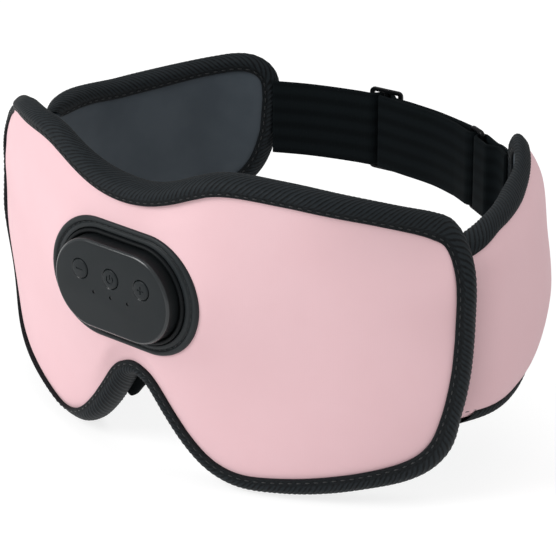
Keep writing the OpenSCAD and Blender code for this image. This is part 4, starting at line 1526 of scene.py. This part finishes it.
def stadium_block(w, h, y0, y1, rounding=0.0):
    """A stadium prism from depth y0 to y1, with its front edge rounded."""
    bm = bmesh.new()
    bmesh.ops.create_circle(bm, cap_ends=True, segments=STADIUM_STEPS, radius=h / 2)
    for v in bm.verts:
        v.co.x += math.copysign((w - h) / 2, v.co.x)
    grown = bmesh.ops.extrude_face_region(bm, geom=bm.faces[:])["geom"]
    top = [g for g in grown if isinstance(g, bmesh.types.BMVert)]
    bmesh.ops.translate(bm, vec=(0, 0, y1 - y0), verts=top)
    bmesh.ops.recalc_face_normals(bm, faces=bm.faces)
    if rounding:
        front = [e for e in bm.edges if all(v in top for v in e.verts)]
        bmesh.ops.bevel(bm, geom=front, offset=rounding, segments=5, profile=0.5,
                        affect="EDGES", material=-1)
    bmesh.ops.rotate(bm, cent=(0, 0, 0), matrix=QUARTER_TURN, verts=bm.verts)
    bmesh.ops.translate(bm, vec=(0, NOSE_Y + y1, POD_Z), verts=bm.verts)
    return bm


def disc(d, y0, y1, x, z, d_front=None, segments=48):
    """A disc or cone along Y at the pod's face; d_front is its diameter at y0."""
    bm = bmesh.new()
    bmesh.ops.create_cone(bm, cap_ends=True, segments=segments, radius1=d / 2,
                          radius2=(d_front or d) / 2, depth=y1 - y0)
    bmesh.ops.rotate(bm, cent=(0, 0, 0), matrix=QUARTER_TURN, verts=bm.verts)
    bmesh.ops.translate(bm, vec=(x, NOSE_Y + (y0 + y1) / 2, POD_Z + z), verts=bm.verts)
    return bm


print("blanks ready, stadiums have", STADIUM_STEPS, "steps")

# %% Pod's front shell
SHARP = math.radians(40)
FACE, WALL, EDGE = 0, 1, 2


def finish_by_facing(facing):
    """Painted-shade wall where a face points sideways, painted-highlight edge where it points forward
    at a slant.
    """
    if abs(facing) < 0.3:
        return WALL
    return EDGE if -0.93 < facing < 0 else FACE



pod_front = piece("pod_face_shell", stadium_block(POD_W, POD_H, FACE_Y, PART_Y, POD_EDGE),
                  charcoal_face)
cuts = [stadium_block(POD_W - 2 * SHELL_T, POD_H - 2 * SHELL_T, FACE_Y + FACE_T, PART_Y + mm)]
for i in (-1, 0, 1):
    x = i * KEY_PITCH
    cuts.append(disc(KEY_D + KEY_GAP, FACE_Y - mm, FACE_Y + 2 * mm, x, KEY_Z))
    cuts.append(disc(KEY_D + KEY_GAP, FACE_Y - 0.01 * mm, FACE_Y + 0.2 * mm, x, KEY_Z,
                     KEY_D + KEY_CHAMFER))
    cuts.append(disc(LENS_D, FACE_Y - mm, FACE_Y + 2 * mm, i * LENS_PITCH, LENS_Z, segments=24))
cut(pod_front, *cuts)
# painted shade on the wall, a darker tint, and a painted highlight on the rounded edge, a lighter tint
pod_front.data.materials.append(charcoal_wall_painted_shade)
pod_front.data.materials.append(glossy_edge_painted_highlight)
for face in pod_front.data.polygons:
    face.material_index = finish_by_facing(face.normal.y)
pod_front.data.set_sharp_from_angle(angle=SHARP)
belongs(pod_front, "pod", ("pod_front_cover",))
print("pod shell", len(pod_front.data.polygons), "faces")

# %% [markdown]
# ## Keys
# Three round keys stand a little proud of the face. Their signs are moulded in as shallow cuts, so
# they are cut here too: bars for minus and plus, and a circle with a gap and a bar for power.
# Bump or paint would not hold up in a close view.

# %% Signs
KEY_PROUD = 0.22 * mm
SIGN_DEEP = 0.2 * mm
SIGN_LINE = 0.45 * mm
SIGN_LONG = 2.6 * mm
POWER_LINE = 0.42 * mm
POWER_GAP = 42


def bar_sign(index, w, h, dz=0.0):
    """A bar across the face of a key."""
    return block((w, 2 * SIGN_DEEP, h),
                 at=(index * KEY_PITCH, NOSE_Y + FACE_Y - KEY_PROUD, POD_Z + KEY_Z + dz))


def arc_sign(index, r, w):
    """A circle with a gap at its top, as on a power key."""
    turn = np.radians(np.linspace(90 + POWER_GAP, 450 - POWER_GAP, 25))
    places = np.zeros((len(turn), 5, 3))
    for k, (dr, y) in enumerate(((-w, -1), (w, -1), (w, 1), (-w, 1), (-w, -1))):
        places[:, k, 0] = index * KEY_PITCH + (r + dr / 2) * np.cos(turn)
        places[:, k, 1] = NOSE_Y + FACE_Y + y * SIGN_DEEP - KEY_PROUD
        places[:, k, 2] = POD_Z + KEY_Z + (r + dr / 2) * np.sin(turn)
    bm = laid_grid(places, (8 * mm, 2 * mm), join_v=True)
    closed_ends(bm)
    return bm


print("signs are cut", 1000 * SIGN_DEEP, "mm deep")

# %% Keys
KEY_T = 1.8 * mm
KEY_EDGE = 0.45 * mm


def key(name, index, *signs):
    """A round key with a softened edge and a sign cut into it."""
    made = piece(name + "_key_cap", disc(KEY_D, FACE_Y - KEY_PROUD, FACE_Y + KEY_T,
                                         index * KEY_PITCH, KEY_Z), charcoal_face)
    edge_softened(made, KEY_EDGE, 3)
    cut(made, *signs)
    made.data.set_sharp_from_angle(angle=SHARP)
    belongs(made, name + "_key", (name + "_button",))


key("minus", -1, bar_sign(-1, SIGN_LONG, SIGN_LINE))
key("power", 0, arc_sign(0, 1.25 * mm, POWER_LINE), bar_sign(0, POWER_LINE, 1.5 * mm, 0.75 * mm))
key("plus", 1, bar_sign(1, SIGN_LONG, SIGN_LINE), bar_sign(1, SIGN_LINE, SIGN_LONG))

# %% [markdown]
# ## Nose flap
# A small cloth flap behind the notch keeps light out beside the nose. It lies on the lining, so it
# is a grid between two short edges, bent over the same surface as the panel, and thickened.

# %% Nose flap
FLAP_T = 1.4 * mm
FLAP_BEHIND = 0.9 * mm

flap_top = spline(both_halves([(0, 43), (6, 42.5), (12, 40), (16, 36), (18, 30)]), 6) * mm
flap_low = spline(both_halves([(0, 22), (6, 20.1), (12, 14.5), (15.5, 14.3), (18, 19.3)]), 6) * mm
w = np.linspace(0, 1, 17)[None, :, None]
pattern = flap_low[:, None] * (1 - w) + flap_top[:, None] * w
bm = laid_grid(on_front(pattern[..., 0], pattern[..., 1], FRONT_T + FLAP_BEHIND),
               (36 * mm, 29 * mm))
flap = piece("nose_flap_cloth", bm, webbing_black)
modified(flap, "SOLIDIFY", thickness=FLAP_T, offset=-1.0, use_rim=True)
modified(flap, "BEVEL", width=0.5 * mm, segments=3, limit_method="ANGLE")
applied(flap)
belongs(flap, "mask_front", ("nose_flap",))
print("nose flap", len(flap.data.polygons), "faces")

# %% [markdown]
# ## Seam tapes
# Behind each seam a tape bridges the fold between the front panel and the wing. Its rows lie partly
# on one surface and partly on the other, and a spline smooths the step between them.

# %% Seam tapes
TAPE_LOW, TAPE_TOP = 26 * mm, 58 * mm
TAPE_T = 0.7 * mm
TAPE_CUT = (30 * mm, 46 * mm)  # the cut size, which lays out the threads
ON_PANEL = (85.2, 88, 90.7)
ON_WING = (-5.5, -2.5, 0, 3, 6, 9, 11)
BLEND_Z = 60 * mm

z = np.linspace(TAPE_LOW, TAPE_TOP, 20)
for side, hand in SIDES:
    rows = [on_front(side * s * mm, z, FRONT_T + 1.0 * mm) for s in ON_PANEL]
    rows += [on_wing(u * mm, z, WING_T + 0.7 * mm, side) for u in ON_WING]
    rows = np.stack(rows, 0)
    smooth_rows = np.stack([spline(rows[:, j], 4) for j in range(rows.shape[1])], 1)
    tape = piece(hand + "_seam_tape_cloth", laid_grid(smooth_rows, TAPE_CUT), webbing_black)
    modified(tape, "SOLIDIFY", thickness=TAPE_T, offset=0.0)
    applied(tape)
    belongs(tape, None, (hand + "_seam_tape",))
    tuple(on_front(side * 91 * mm, BLEND_Z, FRONT_T))
    tuple(on_wing(0.0, BLEND_Z, WING_T, side))
    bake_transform(tape)

# %% [markdown]
# ## Small parts inside
# The parts inside keep the frame's exact solid shape, so each only gets its own finish: copper
# tracks on the heater films, green boards, smoked light guides, bare steel and gold.

# %% Finishes of the small parts
def open_foam():
    """Pale foam with open pores."""
    material, tree, node = shader("open_foam", (0.80, 0.77, 0.70), 0.9)
    bumped(tree, node, noise(tree, coordinates(tree, "Object"), 1200), 0.3 * mm)
    return material


def circuit_green():
    """A green board with paler tracks under the lacquer."""
    material, tree, node = shader("circuit_green", (0.01, 0.12, 0.05), 0.35)
    tracks = waves(tree, coordinates(tree, "Object"), 300, "X", 2.0)
    tinted(tree, node, tracks, (0.008, 0.10, 0.04), (0.014, 0.16, 0.07), 0.6, 0.7)
    return material


def copper_film():
    """A thin film with rows of copper track."""
    material, tree, node = shader("copper_film", (0.55, 0.22, 0.08), 0.4)
    rows = waves(tree, coordinates(tree, "Object"), 160, "Z")
    tinted(tree, node, rows, (0.62, 0.28, 0.10), (0.40, 0.13, 0.04), 0.45, 0.55)
    return material


def smoked_plastic():
    """Nearly black clear plastic, as over a lamp that is off."""
    return shader("smoked_plastic", (0.004, 0.005, 0.006), 0.3)[0]


print("finishes for", len(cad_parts), "frame parts")

# %% Finishing the frame's own parts
finishes = {
    charcoal: ["pod_rear_cover"],
    black_plastic: ["dock_back_plate", "wiring_harness"],
    steel: ["motor_case_left", "motor_case_right", "motor_rotor_left", "motor_rotor_right",
            "dock_magnets", "dock_screws", "pod_magnets", "pod_screws", "pod_switches",
            "pod_usb_socket"],
    gold: ["dock_contacts", "pod_pogo_pins"],
    circuit_green(): ["dock_contact_board", "pod_circuit_board"],
    smoked_plastic(): ["pod_light_guides", "pod_leds"],
    copper_film(): ["heater_film_left", "heater_film_right"],
    plain_metal("battery_foil", (0.6, 0.6, 0.62), 0.35): ["pod_battery"],
    open_foam(): ["left_wing_foam", "right_wing_foam", "front_foam"],
}
for material, names in finishes.items():
    for name in names:
        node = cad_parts[name]
        if not node.material_slots:
            node.data.materials.append(material)
        for holder in node.material_slots:
            holder.material = material
print("finished", sum(len(n) for n in finishes.values()), "frame parts")
